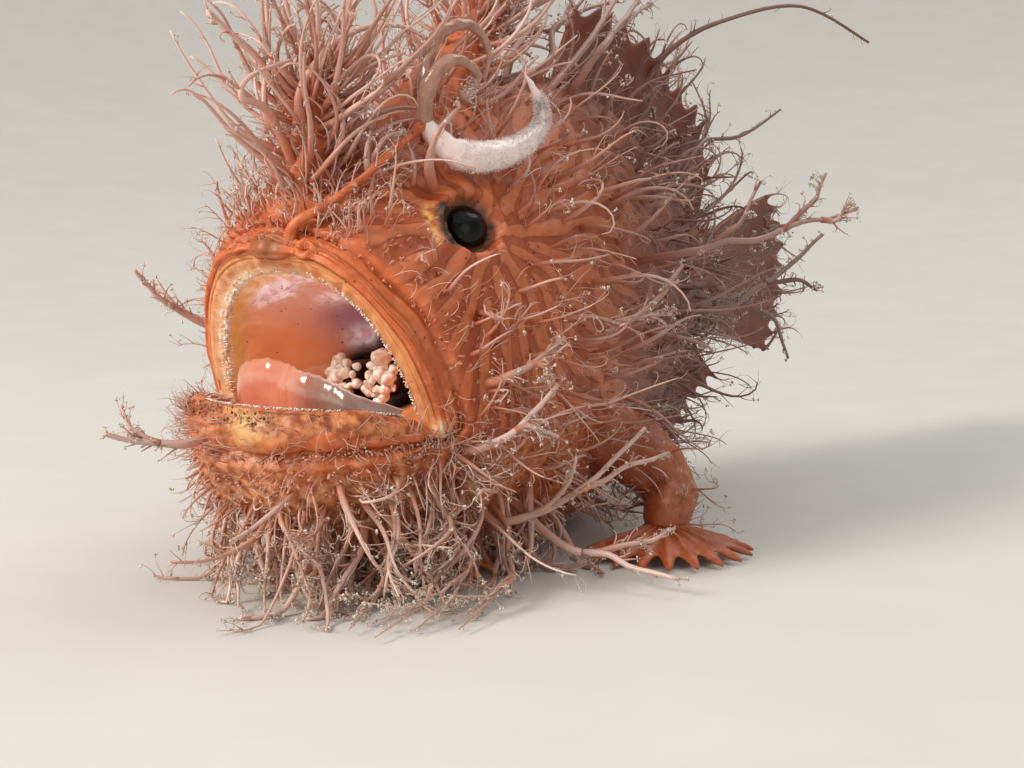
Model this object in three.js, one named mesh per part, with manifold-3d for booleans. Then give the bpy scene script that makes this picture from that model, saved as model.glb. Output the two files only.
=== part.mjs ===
// A hairy frogfish at life size, resting on its belly and fins with its mouth agape.
// Sizes are in millimetres. +Z is up, the head faces -Y and the fish's left side is +X.
// Inside this file y = 0 is at the corners of the mouth. The exported group is shifted so that
// its origin is the middle of the flat under the belly.
import * as THREE from 'three';
import { mergeVertices } from 'three/addons/utils/BufferGeometryUtils.js';
import Module from 'manifold-3d';

const wasm = await Module();
wasm.setup();

// Driving dimensions
const GAP = 0.3; // clear space between pieces that touch
const SKIN_SIDES = 24; // points round each ring of the skin
const RINGS_PER_STATION = 2;
const HEAD_CUT_Y = 27; // where the head ends, just behind the gills
const HEAD_CUT_TILT = -0.15;
const TAIL_CUT_Y = 66; // where the tail begins, behind the vent
const BELLY_FLAT_Y = 36; // middle of the flat under the belly
const MOUTH_AXIS_Z = 24; // height of the line that the four parts of the head meet on
const CHEEK_HALF_ANGLE = 0.61; // half of a cheek's share of the head, seen from the front
const MOUTH_CORNER = new THREE.Vector3(15.5, 0, 17.6);
const MOUTH_CORNER_TILT = -0.72;

const EYE_RADIUS = 3.1;
const EYE_CENTRE = new THREE.Vector3(12.6, 8.7, 39.3);
const EYE_AXIS = new THREE.Vector3(0.84, -0.35, 0.42).normalize();
const LID_RADIUS = 3.15;
const LID_THICKNESS = 0.75;

const STRAND_SIDES = 3;
const FINEST_STRAND = 0.34; // radius of a three-sided strand that is 0.5 mm thick
const STEM_RADIUS = 0.6; // a filament at its root
const STEM_STEPS = 3; // straight lengths in a filament
const SUNK = 1.0; // how deep a filament's root lies in what it grows from
const TWIG_SHARE = 0.3; // share of the shorter filaments that fork
const STRAND_CLEARANCE = 0.36; // clear space round a filament of another piece
const TRIES = 14; // how often a filament is drawn again before it is left out

// Colours of the live fish
const ORANGE_SKIN = '#b8683f';
const DARK_SKIN = '#8a4a33';
const LIP_SKIN = '#d39a63';
const PINK_SKIN = '#c98a72';
const LURE_SKIN = '#e3cdbf';
const MOUTH_LINING = '#cf8f7a';
const TOOTH = '#e9e0cc';
const CORNEA = '#14181a';

const point = ([x, y, z]) => new THREE.Vector3(x, y, z);

// Inside the mouth
const TONGUE_CENTRE = [0, -5.5, 15.4];
const TONGUE_RADII = [9.5, 7.0, 4.6];
const PLATE_CENTRE = new THREE.Vector3(2.7, 9.4, 21.6);
const PLATE_RADII = [2.1, 1.6, 2.3];
const PLATE_KNOBS = 6;

// The lure: a thin rod from the snout and three lobes of flesh on its end
const ROD_PATH = [
  [2.0, -7.2, 38.2],
  [3.2, -8.2, 40.6],
  [6.0, -5.8, 42.9],
  [8.5, -1.8, 46.2],
  [9.7, 4.0, 50.2],
  [9.9, 6.0, 51.2],
];
const ROD_RADII = [0.85, 0.6, 0.5, 0.45];
const LURE_BULB = 1.1;
const LURE_LOBES = [
  {
    path: [
      [12, 7.7, 48.5],
      [14, 10.6, 47.6],
      [15, 15.9, 48.4],
      [15, 20.4, 50.6],
      [14.5, 21.5, 53.4],
      [14, 18.8, 57.1],
    ],
    radii: [0.9, 1.5, 1.75, 1.6, 1.2, 0.7, 0.25],
    sides: 7,
    steps: 11,
  },
  {
    path: [
      [10.5, 5.6, 54.7],
      [11.5, 6.3, 57.1],
      [12.5, 7.9, 58.2],
      [13, 10.1, 57.6],
      [13, 11.5, 56.2],
      [13, 8.9, 54.0],
    ],
    radii: [0.8, 0.95, 0.85, 0.7, 0.5, 0.5, 0.8],
    sides: 6,
    steps: 9,
  },
  {
    path: [
      [9.5, 6.5, 55.2],
      [9.5, 7.4, 59.0],
      [10, 8.8, 61.2],
      [11, 12.5, 62.2],
      [12, 14.7, 59.7],
      [12, 14.1, 56.0],
    ],
    radii: [0.7, 0.85, 0.8, 0.7, 0.6, 0.45, 0.25],
    sides: 6,
    steps: 9,
  },
];

// The second and third spines of the back, thick and fleshy
const BACK_SPINES = [
  {
    name: 'dorsal_spine_2',
    path: [[0, -1.0, 42.5], [0, -2.2, 50.0], [0, 0.5, 58.5]],
    radii: [3.0, 2.2, 1.0],
  },
  {
    name: 'dorsal_spine_3',
    path: [[0, 18.0, 51.0], [0, 25.0, 60.0], [0, 34.5, 66.5]],
    radii: [4.6, 3.2, 1.2],
  },
];

// The fins, placed along the outer skin or by their wrists
const DORSAL = { rays: 12, along: [7.5, 10.9], height: 13 };
const ANAL = { rays: 7, along: [9.2, 10.7], height: 11 };
const CAUDAL = { rays: 9, rootY: 84.5, rootZ: 28.1, rootHalf: 6.0, spread: 0.62, length: 25 };
const ARM = {
  path: [[10, 33, 15], [17.5, 37.5, 11], [22, 38, 6.8], [23.5, 34.5, 3.9]],
  radii: [5.0, 4.3, 3.4, 2.6],
};
const SOLE_Z = 0.3;
const PECTORAL = { wrist: [24, 33.5, 3.0], rays: 10, fromAngle: -125, toAngle: 35, length: 11 };
const PELVIC = { wrist: [6.5, 9.5, 3.4], rays: 5, fromAngle: -75, toAngle: 15, length: 9.5 };

// Where filaments grow on the skin: how many, their ranges along it in stations and round it in
// degrees, the way they hang, how far they stand off and how long they are
const PATCHES = [
  {
    node: 'cranium',
    count: 8,
    along: [3.5, 5.9],
    round: [48, 132],
    lie: [0, 0.5, 0.8],
    stand: 0.6,
    length: [6, 11],
  },
  {
    node: 'chin',
    count: 27,
    along: [3.3, 5.7],
    round: [-146, -34],
    lie: [0, -0.5, -0.7],
    stand: 0.9,
    length: [8, 13],
  },
  {
    node: 'cheek_l',
    count: 10,
    along: [3.4, 5.9],
    round: [-30, 28],
    lie: [0, 0.75, 0.4],
    stand: 0.7,
    length: [6, 12],
  },
  {
    node: 'cheek_r',
    count: 9,
    along: [3.4, 5.9],
    round: [152, 210],
    lie: [0, 0.75, 0.4],
    stand: 0.7,
    length: [6, 12],
  },
  {
    node: 'torso',
    count: 22,
    along: [6.4, 8.9],
    round: [-60, 240],
    lie: [0, 0.8, 0.3],
    stand: 0.8,
    length: [7, 14],
  },
  {
    node: 'tail',
    count: 5,
    along: [9.5, 11.3],
    round: [-60, 240],
    lie: [0, 0.9, 0.15],
    stand: 0.5,
    length: [5, 9],
  },
];

// The thick coat of long filaments on each spine of the back, and how steeply it leaves the spine
const SPINE_RISE = 1.2;
const SPINE_COATS = [
  {
    node: 'dorsal_spine_2',
    count: 14,
    from: [0, -2.0, 47],
    to: [0, 0.4, 58.5],
    lie: [0, 0.1, 1],
    length: [14, 23],
  },
  {
    node: 'dorsal_spine_3',
    count: 11,
    from: [0, 22, 56],
    to: [0, 34.2, 66.2],
    lie: [0, 0.45, 0.9],
    length: [10, 17],
  },
];

// Filaments at the edge of a fin go on in the direction of its rays
const FIN_FRINGES = [
  { node: 'dorsal_fin', count: 7, length: [6, 12] },
  { node: 'anal_fin', count: 3, length: [4, 7] },
  { node: 'caudal_fin', count: 3, length: [4, 8] },
];
const ARM_FILAMENTS = { count: 3, length: [6, 10] };

// The longest filaments of the left side and the face, one by one: the root by its position along
// the skin and its angle round it, the tip, and twigs that leave the stem part of the way along it
const LONG_FILAMENTS = [
  {
    node: 'torso',
    at: [7.32, 15],
    tip: [34, 63.5, 40.4],
    twigs: [
      { from: 0.4, tip: [27.2, 50.2, 43.8] },
      { from: 0.72, tip: [31, 60.4, 44.8] },
      { from: 0.86, tip: [35.5, 58.0, 41.4] },
    ],
  },
  {
    node: 'torso',
    at: [8.6, -5],
    tip: [24, 73.3, 36.1],
    twigs: [{ from: 0.45, tip: [21, 70.1, 19.6] }, { from: 0.7, tip: [25.5, 69.5, 29] }],
  },
  { node: 'torso', at: [6.75, 76], tip: [0.8, 47.5, 66.0], twigs: [] },
  { node: 'torso', at: [7.1, 68], tip: [2.6, 62.5, 68.2], twigs: [{ from: 0.6, tip: [6.5, 58.0, 66.5] }] },
  { node: 'cheek_l', at: [5.75, 4], tip: [24, 37.3, 34.3], twigs: [{ from: 0.6, tip: [25.5, 32.0, 29.0] }] },
  { node: 'cheek_l', at: [3.45, 5], tip: [24, 12.7, 28], twigs: [{ from: 0.7, tip: [24.6, 9.4, 23.8] }] },
  {
    node: 'cheek_l',
    at: [3.5, -22],
    tip: [24.6, 10.5, 23.1],
    twigs: [{ from: 0.65, tip: [25.4, 9.5, 17.5] }],
  },
  {
    node: 'chin',
    at: [4.95, -45],
    tip: [27, 24.6, 16.7],
    twigs: [{ from: 0.45, tip: [24.6, 14.2, 14.6] }, { from: 0.7, tip: [28, 28.2, 13.4] }],
  },
  { node: 'chin', at: [5.3, -40], tip: [37, 16.0, 2.0], twigs: [{ from: 0.6, tip: [31.5, 24.0, 5.6] }] },
  {
    node: 'lower_jaw_r',
    at: [1.3, -99],
    tip: [-8, -25.6, 19.3],
    twigs: [{ from: 0.6, tip: [-8.6, -22.4, 21.4] }],
  },
  {
    node: 'upper_jaw_r',
    at: [2.0, 158],
    tip: [-18.6, -10.8, 35],
    twigs: [{ from: 0.55, tip: [-20, -5.8, 33] }],
  },
];

// One station is a ring of the skin: [y, z] of its top and of its bottom, [x, y, z] of its widest point,
// how square its width, upper half and lower half are, and how its outline leans between those points.
function station(top, bottom, side, square = [1, 1, 1], lean = [1.6, 1.6]) {
  return [...top, ...bottom, ...side, ...square, ...lean];
}

// The outer skin, from the rim of the lips to the root of the tail fin
const OUTER = [
  station([-8.0, 37.0], [-15.5, 21.5], [15.5, 0.0, 17.5], [0.85, 0.9, 0.45], [1.0, 1.3]),
  station([-8.8, 38.4], [-16.3, 18.8], [17.1, 0.8, 18.0], [0.88, 0.9, 0.5], [1.1, 1.3]),
  station([-7.6, 39.8], [-14.2, 15.6], [17.2, 2.0, 18.8], [0.9, 0.92, 0.7], [1.4, 1.4]),
  station([-6.0, 41.8], [-11.8, 10.8], [18.3, 4.0, 20.3], [0.92, 0.95, 0.85], [1.6, 1.6]),
  station([1.0, 46.5], [-4.5, 6.2], [19.4, 8.0, 22.0], [0.95, 0.95, 0.95], [1.6, 1.6]),
  station([13.0, 52.0], [8.0, 1.8], [19.6, 15.0, 23.0], [1, 0.95, 0.95]),
  station([26.0, 55.5], [21.0, -0.9], [18.6, 25.0, 24.0], [1, 1, 0.9]),
  station([38.0, 57.0], [35.0, -1.2], [16.6, 37.0, 26.0], [1, 1, 0.9]),
  station([50.0, 54.0], [49.0, 3.0], [13.6, 50.0, 27.0]),
  station([62.0, 47.5], [61.0, 9.5], [9.6, 62.0, 28.0]),
  station([72.0, 40.5], [71.0, 16.5], [6.0, 72.0, 28.0]),
  station([80.0, 35.5], [79.5, 21.0], [3.6, 80.0, 28.0]),
  station([84.5, 35.2], [84.5, 21.0], [2.2, 84.5, 28.0]),
];

// The lining of the mouth, from just inside the lips to the throat
const MOUTH = [
  station([-6.5, 35.5], [-13.6, 20.0], [13.7, 1.2, 18.0], [0.85, 0.9, 0.6], [1.0, 1.3]),
  station([-1.0, 34.2], [-6.5, 15.8], [13.4, 5.0, 20.3], [0.95, 0.9, 0.85], [1.2, 1.3]),
  station([7.5, 31.0], [5.0, 16.6], [10.0, 9.5, 22.5], [1, 1, 1], [1.2, 1.3]),
  station([14.0, 27.5], [13.0, 19.8], [4.6, 14.5, 23.5], [1, 1, 1], [1.2, 1.3]),
];

const AT_SNOUT = 3; // the station just behind the lips, where the jaws end

const TURN = Math.PI * 2;
const degrees = (angle) => THREE.MathUtils.degToRad(angle);

// A seeded source of random numbers from 0 to 1
function randomFrom(seed) {
  let state = seed;
  return () => {
    state = (state + 0x6d2b79f5) | 0;
    let t = Math.imul(state ^ (state >>> 15), 1 | state);
    t = (t + Math.imul(t ^ (t >>> 7), 61 | t)) ^ t;
    return ((t ^ (t >>> 14)) >>> 0) / 4294967296;
  };
}

// Smooth value between the stations of a list, at a position counted in stations
function blendStations(stations, position) {
  const last = stations.length - 1;
  const start = Math.min(Math.max(Math.floor(position), 0), last - 1);
  const t = position - start;
  const pick = (index) => stations[Math.min(Math.max(index, 0), last)];
  const [before, from, to, after] = [pick(start - 1), pick(start), pick(start + 1), pick(start + 2)];
  return from.map((value, i) => {
    const slopeFrom = (to[i] - before[i]) / 2;
    const slopeTo = (after[i] - value) / 2;
    const t2 = t * t;
    const t3 = t2 * t;
    return (
      value * (2 * t3 - 3 * t2 + 1) +
      slopeFrom * (t3 - 2 * t2 + t) +
      to[i] * (3 * t2 - 2 * t3) +
      slopeTo * (t3 - t2)
    );
  });
}

// Point of a skin at a position along it and an angle round it. Angle 0 is the fish's left side.
function skinPoint(stations, position, angle) {
  const [topY, topZ, lowY, lowZ, sideX, sideY, sideZ, wide, upper, lower, leanUp, leanDown] =
    blendStations(stations, position);
  const across = Math.cos(angle);
  const rise = Math.abs(Math.sin(angle));
  const isUpper = Math.sin(angle) >= 0;
  const endY = isUpper ? topY : lowY;
  const endZ = isUpper ? topZ : lowZ;
  return new THREE.Vector3(
    sideX * Math.sign(across) * Math.abs(across) ** wide,
    sideY + (endY - sideY) * rise ** (isUpper ? leanUp : leanDown),
    sideZ + (endZ - sideZ) * rise ** (isUpper ? upper : lower),
  );
}

// Outward direction of a skin at the same place
function skinNormal(stations, position, angle) {
  const step = 0.02;
  const along = skinPoint(stations, position + step, angle).sub(skinPoint(stations, position - step, angle));
  const round = skinPoint(stations, position, angle + step).sub(skinPoint(stations, position, angle - step));
  return along.cross(round).normalize();
}

// Solids

// Closed solid from shared points and triangles, turned right way out
function solidFrom(points, triangles) {
  const vertProperties = new Float32Array(points.flatMap((p) => [p.x, p.y, p.z]));
  const make = (faces) =>
    new wasm.Manifold(new wasm.Mesh({ numProp: 3, vertProperties, triVerts: new Uint32Array(faces.flat()) }));
  const solid = make(triangles);
  return solid.volume() > 0 ? solid : make(triangles.map(([a, b, c]) => [a, c, b]));
}

// Closed solid from a geometry of three.js and an optional transform
function solidOf(geometry, transform = new THREE.Matrix4()) {
  const bare = geometry.clone();
  bare.deleteAttribute('normal');
  bare.deleteAttribute('uv');
  const merged = mergeVertices(bare.applyMatrix4(transform), 1e-4);
  const place = merged.attributes.position;
  const pointAt = (i) => new THREE.Vector3().fromBufferAttribute(place, i);
  const points = Array.from({ length: place.count }, (_, i) => pointAt(i));
  const index = merged.index.array;
  const triangles = [];
  for (let i = 0; i < index.length; i += 3) triangles.push([index[i], index[i + 1], index[i + 2]]);
  return solidFrom(points, triangles);
}

// Closed solid through a row of rings with the same number of points, with a point closing each end
function loft(rings, startApex, endApex) {
  const sides = rings[0].length;
  const points = [...rings.flat(), startApex, endApex];
  const startIndex = points.length - 2;
  const endIndex = points.length - 1;
  const lastRing = (rings.length - 1) * sides;
  const triangles = [];
  for (let side = 0; side < sides; side++) {
    const next = (side + 1) % sides;
    triangles.push([startIndex, next, side], [endIndex, lastRing + side, lastRing + next]);
    for (let ring = 0; ring < rings.length - 1; ring++) {
      const a = ring * sides;
      triangles.push([a + side, a + next, a + sides + next], [a + side, a + sides + next, a + sides + side]);
    }
  }
  return solidFrom(points, triangles);
}

const middleOf = (ring) =>
  ring.reduce((sum, p) => sum.add(p), new THREE.Vector3()).divideScalar(ring.length);

// Rings of a skin between two positions, pushed out by an offset
function skinRings(stations, from, to, offset) {
  const count = Math.round(Math.abs(to - from) * RINGS_PER_STATION);
  return Array.from({ length: count + 1 }, (_, k) => {
    const position = from + ((to - from) * k) / Math.max(count, 1);
    return Array.from({ length: SKIN_SIDES }, (_, i) => {
      const angle = ((i + 0.5) / SKIN_SIDES) * TURN;
      const push = skinNormal(stations, position, angle).multiplyScalar(offset);
      return skinPoint(stations, position, angle).add(push);
    });
  });
}

// The body with its mouth left open
function openBody() {
  const rings = [
    ...skinRings(OUTER, OUTER.length - 1, 0, 0),
    ...skinRings(MOUTH, 0, MOUTH.length - 1, 0),
  ];
  return loft(rings, middleOf(rings[0]), middleOf(rings.at(-1)));
}

// The outer skin closed over the mouth and grown by a clearance, which trims what stands on it
function closedBody(clearance) {
  const rings = skinRings(OUTER, OUTER.length - 1, 0, clearance);
  return loft(rings, middleOf(rings[0]).add(new THREE.Vector3(0, clearance, 0)), middleOf(rings.at(-1)));
}

// The room inside the mouth, kept clear of its lining
function mouthRoom(clearance) {
  const rings = skinRings(MOUTH, 0, MOUTH.length - 1, -clearance);
  return loft(rings, middleOf(rings[0]), middleOf(rings.at(-1)));
}

function box(width, depth, height, centre, rotation = new THREE.Euler()) {
  const turn = new THREE.Quaternion().setFromEuler(rotation);
  const place = new THREE.Matrix4().compose(centre, turn, new THREE.Vector3(1, 1, 1));
  return solidOf(new THREE.BoxGeometry(width, depth, height), place);
}

function ellipsoid(centre, radii, widthSides = 14, heightSides = 9) {
  const place = new THREE.Matrix4().makeTranslation(...centre).scale(new THREE.Vector3(...radii));
  return solidOf(new THREE.SphereGeometry(1, widthSides, heightSides), place);
}

const mirrored = (solid) => solid.mirror([1, 0, 0]);
const joined = (solids) => solids.reduce((whole, solid) => whole.add(solid));

// The largest closed surface of a solid, with hollows filled and loose scraps dropped
function largest(solid) {
  return solid.decompose().reduce((best, piece) => (piece.volume() > best.volume() ? piece : best));
}

// A tube along a smooth curve through points, with a radius at each point and a pointed or blunt end
function tube(points, radii, sides, steps, flatness = 1) {
  const curve = new THREE.CatmullRomCurve3(points, false, 'centripetal');
  const rings = [];
  let across = new THREE.Vector3(0, 0, 1);
  for (let k = 0; k <= steps; k++) {
    const t = k / steps;
    const centre = curve.getPoint(t);
    const forward = curve.getTangent(t);
    across = across.clone().addScaledVector(forward, -across.dot(forward));
    if (across.length() < 0.05) across.set(1, 0, 0).addScaledVector(forward, -forward.x);
    across.normalize();
    const other = forward.clone().cross(across);
    const place = t * (radii.length - 1);
    const low = Math.min(Math.floor(place), radii.length - 2);
    const radius = THREE.MathUtils.lerp(radii[low], radii[low + 1], place - low);
    rings.push(
      Array.from({ length: sides }, (_, i) => {
        const angle = (i / sides) * TURN;
        return centre
          .clone()
          .addScaledVector(across, Math.cos(angle) * radius)
          .addScaledVector(other, Math.sin(angle) * radius * flatness);
      }),
    );
  }
  const endPush = curve.getTangent(1).multiplyScalar(radii.at(-1) * 1.2);
  return loft(rings, curve.getPoint(0), curve.getPoint(1).add(endPush));
}

// Skin filaments

// A unit vector that points anywhere
function anyDirection(random) {
  return new THREE.Vector3(random() - 0.5, random() - 0.5, random() - 0.5).normalize();
}

// Strands of one filament: a stem that leaves the skin along the normal and bends to its lie,
// and a twig or two. Each strand is a row of points with a radius at each.
function growFilament(random, { root, normal, lie, length }) {
  const stem = [{ point: root.clone().addScaledVector(normal, -SUNK), radius: STEM_RADIUS }];
  const heading = normal.clone();
  const swing = anyDirection(random).multiplyScalar(0.4);
  const place = root.clone();
  for (let k = 1; k <= STEM_STEPS; k++) {
    place.addScaledVector(heading, length / STEM_STEPS);
    const radius = THREE.MathUtils.lerp(STEM_RADIUS, FINEST_STRAND, Math.sqrt(k / STEM_STEPS));
    stem.push({ point: place.clone(), radius });
    heading.lerp(lie, 0.45).addScaledVector(swing, k % 2 ? 1 : -1).normalize();
  }
  const twigs = random() < TWIG_SHARE ? [STEM_STEPS - 1] : [];
  const strands = twigs.map((at) => {
    const course = heading.clone().addScaledVector(anyDirection(random), 0.95).normalize();
    const reach = length * THREE.MathUtils.lerp(0.22, 0.4, random());
    return twig(stem[at].point, stem[at].point.clone().addScaledVector(course, reach));
  });
  return [stem, ...strands];
}

const twig = (from, to) => [
  { point: from.clone(), radius: FINEST_STRAND * 1.02 },
  { point: to, radius: FINEST_STRAND * 0.8 },
];

// Strands of one of the longest filaments, on a smooth bow from its root to its tip
function longFilament({ at, tip, twigs }) {
  const [position, angle] = [at[0], degrees(at[1])];
  const root = skinPoint(OUTER, position, angle);
  const normal = skinNormal(OUTER, position, angle);
  const end = point(tip);
  const knee = root.clone().addScaledVector(normal, root.distanceTo(end) * 0.35);
  const bow = new THREE.QuadraticBezierCurve3(root, knee, end);
  const steps = Math.round(root.distanceTo(end) / 5);
  const stem = Array.from({ length: steps + 1 }, (_, k) => ({
    point: bow.getPoint(k / steps),
    radius: THREE.MathUtils.lerp(STEM_RADIUS, FINEST_STRAND, k / steps),
  }));
  stem[0].point.addScaledVector(normal, -SUNK);
  return [stem, ...twigs.map((side) => twig(bow.getPoint(side.from), point(side.tip)))];
}

// Solid of one strand, ending in a point, grown by a clearance when it is tested
function strandSolid(strand, clearance = 0) {
  const rings = [];
  let across = new THREE.Vector3(0.31, 0.23, 0.92);
  strand.forEach(({ point, radius }, k) => {
    const before = strand[Math.max(k - 1, 0)].point;
    const after = strand[Math.min(k + 1, strand.length - 1)].point;
    const forward = after.clone().sub(before).normalize();
    across = across.clone().addScaledVector(forward, -across.dot(forward)).normalize();
    const other = forward.clone().cross(across);
    rings.push(
      Array.from({ length: STRAND_SIDES }, (_, i) => {
        const angle = (i / STRAND_SIDES) * TURN;
        return point
          .clone()
          .addScaledVector(across, Math.cos(angle) * (radius + clearance))
          .addScaledVector(other, Math.sin(angle) * (radius + clearance));
      }),
    );
  });
  const end = strand.at(-1);
  const last = end.point.clone().sub(strand.at(-2).point).normalize();
  return loft(rings, strand[0].point, end.point.clone().addScaledVector(last, end.radius * 2.5 + clearance));
}

const overlaps = (a, b) => [0, 1, 2].every((i) => a.min[i] < b.max[i] && b.min[i] < a.max[i]);
const meets = (a, b) => overlaps(a.boundingBox(), b.boundingBox()) && a.intersect(b).volume() > 0;

// The nodes, each with its solid, the filaments that will be fused to it and its finish
const nodes = new Map();

function addNode(name, solid, colour, roughness = 0.6) {
  nodes.set(name, { solid: largest(solid), filaments: [], colour, roughness });
}

// True where strands come too near another node, another node's filaments or the floor
function isBlocked(strands, ownName) {
  const fat = strands.map((strand) => strandSolid(strand, STRAND_CLEARANCE));
  if (fat.some((piece) => piece.boundingBox().min[2] < 0)) return true;
  const others = [...nodes].filter(([name]) => name !== ownName).map(([, node]) => node);
  return others.some(({ solid, filaments }) =>
    fat.some((piece) => meets(piece, solid) || filaments.some((filament) => meets(piece, filament))),
  );
}

// Grows filaments on one node, drawing each again until it is clear of its neighbours
function growOn(name, seed, count, draw) {
  const random = randomFrom(seed);
  for (let made = 0, tries = 0; made < count && tries < count * TRIES; tries++) {
    const strands = growFilament(random, draw(random, made, tries));
    if (isBlocked(strands, name)) continue;
    nodes.get(name).filaments.push(...strands.map((strand) => strandSolid(strand)));
    made++;
  }
}

// A draw on a patch of the skin. Steps of two fixed fractions spread the roots evenly over it.
function skinDraw({ along, round, lie, stand, length }) {
  return (random, made, tries) => {
    const position = THREE.MathUtils.lerp(...along, (tries * 0.7549 + 0.08 * random()) % 1);
    const angle = degrees(THREE.MathUtils.lerp(...round, (tries * 0.5698 + 0.08 * random()) % 1));
    const normal = skinNormal(OUTER, position, angle);
    return {
      root: skinPoint(OUTER, position, angle),
      normal,
      lie: point(lie).addScaledVector(normal, stand).normalize(),
      length: THREE.MathUtils.lerp(...length, random()),
    };
  };
}

// A draw along the line of a spine of the back, evenly from its foot to its tip
function spineDraw({ count, from, to, lie, length }) {
  return (random, made) => {
    const angle = random() * TURN;
    const normal = new THREE.Vector3(Math.cos(angle), Math.sin(angle), SPINE_RISE).normalize();
    return {
      root: point(from).lerp(point(to), (made + random()) / count),
      normal,
      lie: point(lie).addScaledVector(normal, 0.6).normalize(),
      length: THREE.MathUtils.lerp(...length, random()),
    };
  };
}

// A draw on the edge of a fin, ray by ray
function fringeDraw({ count, length }, rays) {
  return (random, made) => {
    const { curve } = rays[Math.round((made / count) * (rays.length - 1))];
    const normal = curve.getTangent(1);
    return {
      root: curve.getPoint(1),
      normal,
      lie: normal.clone().addScaledVector(anyDirection(random), 0.6).normalize(),
      length: THREE.MathUtils.lerp(...length, random()),
    };
  };
}

// A draw on the outer side of an arm
function armDraw({ length }, arm) {
  return (random) => {
    const t = THREE.MathUtils.lerp(0.3, 0.85, random());
    const outward = new THREE.Vector3(arm.outward, random() - 0.6, random() - 0.2).normalize();
    return {
      root: arm.curve.getPoint(t).addScaledVector(outward, 2.2),
      normal: outward,
      lie: new THREE.Vector3(arm.outward * 0.5, 0.6, 0.1).normalize(),
      length: THREE.MathUtils.lerp(...length, random()),
    };
  };
}

// The body parted into its pieces by thin cuts
function partBody() {
  const aboveFloor = box(200, 300, 200, new THREE.Vector3(0, 0, 100));
  const body = openBody().intersect(aboveFloor);
  const tailCut = box(90, GAP, 90, new THREE.Vector3(0, TAIL_CUT_Y, 30));
  const headTurn = new THREE.Euler(HEAD_CUT_TILT, 0, 0);
  const headCut = box(90, GAP, 90, new THREE.Vector3(0, HEAD_CUT_Y, 25), headTurn);
  const [tail, torso, head, jaws] = body
    .subtract(tailCut)
    .subtract(headCut)
    .subtract(jawCut())
    .decompose()
    .sort((a, b) => b.boundingBox().max[1] - a.boundingBox().max[1]);

  const cheekTurns = [CHEEK_HALF_ANGLE, -CHEEK_HALF_ANGLE].map((angle) => new THREE.Euler(0, angle, 0));
  const axisPoint = new THREE.Vector3(0, HEAD_CUT_Y / 2, MOUTH_AXIS_Z);
  const cheekCuts = joined(cheekTurns.map((turn) => box(120, 90, GAP, axisPoint, turn)));
  const headPieces = head.subtract(cheekCuts).decompose();

  const cornerTurn = new THREE.Euler(MOUTH_CORNER_TILT, 0, 0);
  const cornerCut = box(14, 30, GAP, MOUTH_CORNER, cornerTurn);
  const middleCut = box(GAP, 60, 90, new THREE.Vector3(0, 0, 25));
  const jawCuts = joined([cornerCut, mirrored(cornerCut), middleCut]);
  const jawPieces = jaws.subtract(jawCuts).decompose();

  const centre = (piece) => {
    const { min, max } = piece.boundingBox();
    return [(min[0] + max[0]) / 2, (min[2] + max[2]) / 2];
  };
  const highest = (pieces) => pieces.reduce((a, b) => (centre(a)[1] > centre(b)[1] ? a : b));
  const lowest = (pieces) => pieces.reduce((a, b) => (centre(a)[1] < centre(b)[1] ? a : b));
  const onLeft = (pieces) => pieces.filter((piece) => centre(piece)[0] > 1);
  const onRight = (pieces) => pieces.filter((piece) => centre(piece)[0] < -1);
  return {
    tail,
    torso,
    cranium: highest(headPieces),
    chin: lowest(headPieces),
    cheek_l: largest(onLeft(headPieces)[0]),
    cheek_r: largest(onRight(headPieces)[0]),
    upper_jaw_l: highest(onLeft(jawPieces)),
    upper_jaw_r: highest(onRight(jawPieces)),
    lower_jaw_l: lowest(onLeft(jawPieces)),
    lower_jaw_r: lowest(onRight(jawPieces)),
  };
}

// A thin collar between the outer skin behind the lips and the mouth's lining, which parts the jaws off.
// Its two faces are split into triangles alike, so that they never cross.
function jawCut() {
  const outerReach = 3;
  const innerReach = 1.2;
  const [outers] = skinRings(OUTER, AT_SNOUT, AT_SNOUT, 0);
  const [inners] = skinRings(MOUTH, 1, 1, 0);
  const points = [];
  const triangles = [];
  outers.forEach((edge, i) => {
    const next = (i + 1) % SKIN_SIDES;
    const along = outers[next].clone().sub(outers.at(i - 1));
    const across = edge.clone().sub(inners[i]).normalize();
    const thick = along.cross(across).setLength(GAP / 2);
    const outer = edge.clone().addScaledVector(across, outerReach);
    const inner = inners[i].clone().addScaledVector(across, -innerReach);
    points.push(outer.clone().add(thick), outer.clone().sub(thick));
    points.push(inner.clone().sub(thick), inner.clone().add(thick));
    const [a, b] = [i * 4, next * 4];
    triangles.push([a, a + 3, b + 3], [a, b + 3, b], [a, b, b + 1], [a, b + 1, a + 1]);
    triangles.push([a + 1, b + 1, b + 2], [a + 1, b + 2, a + 2]);
    triangles.push([a + 2, b + 2, b + 3], [a + 2, b + 3, a + 3]);
  });
  return solidFrom(points, triangles);
}

// A row of small teeth along a jaw, just inside the lips
function teeth(fromAngle, toAngle, count) {
  return Array.from({ length: count }, (_, i) => {
    const angle = degrees(THREE.MathUtils.lerp(fromAngle, toAngle, (i + 0.5) / count));
    const lip = skinPoint(OUTER, 0, angle).lerp(skinPoint(MOUTH, 0, angle), i % 2 ? 0.95 : 0.6);
    const inward = new THREE.Vector3(0, 0, MOUTH_AXIS_Z + 4).sub(lip).setY(0).normalize();
    const start = lip.clone().addScaledVector(inward, -0.8);
    const end = lip.clone().addScaledVector(inward, 0.75);
    return strandSolid([{ point: start, radius: 0.5 }, { point: end, radius: 0.12 }]);
  });
}

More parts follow.
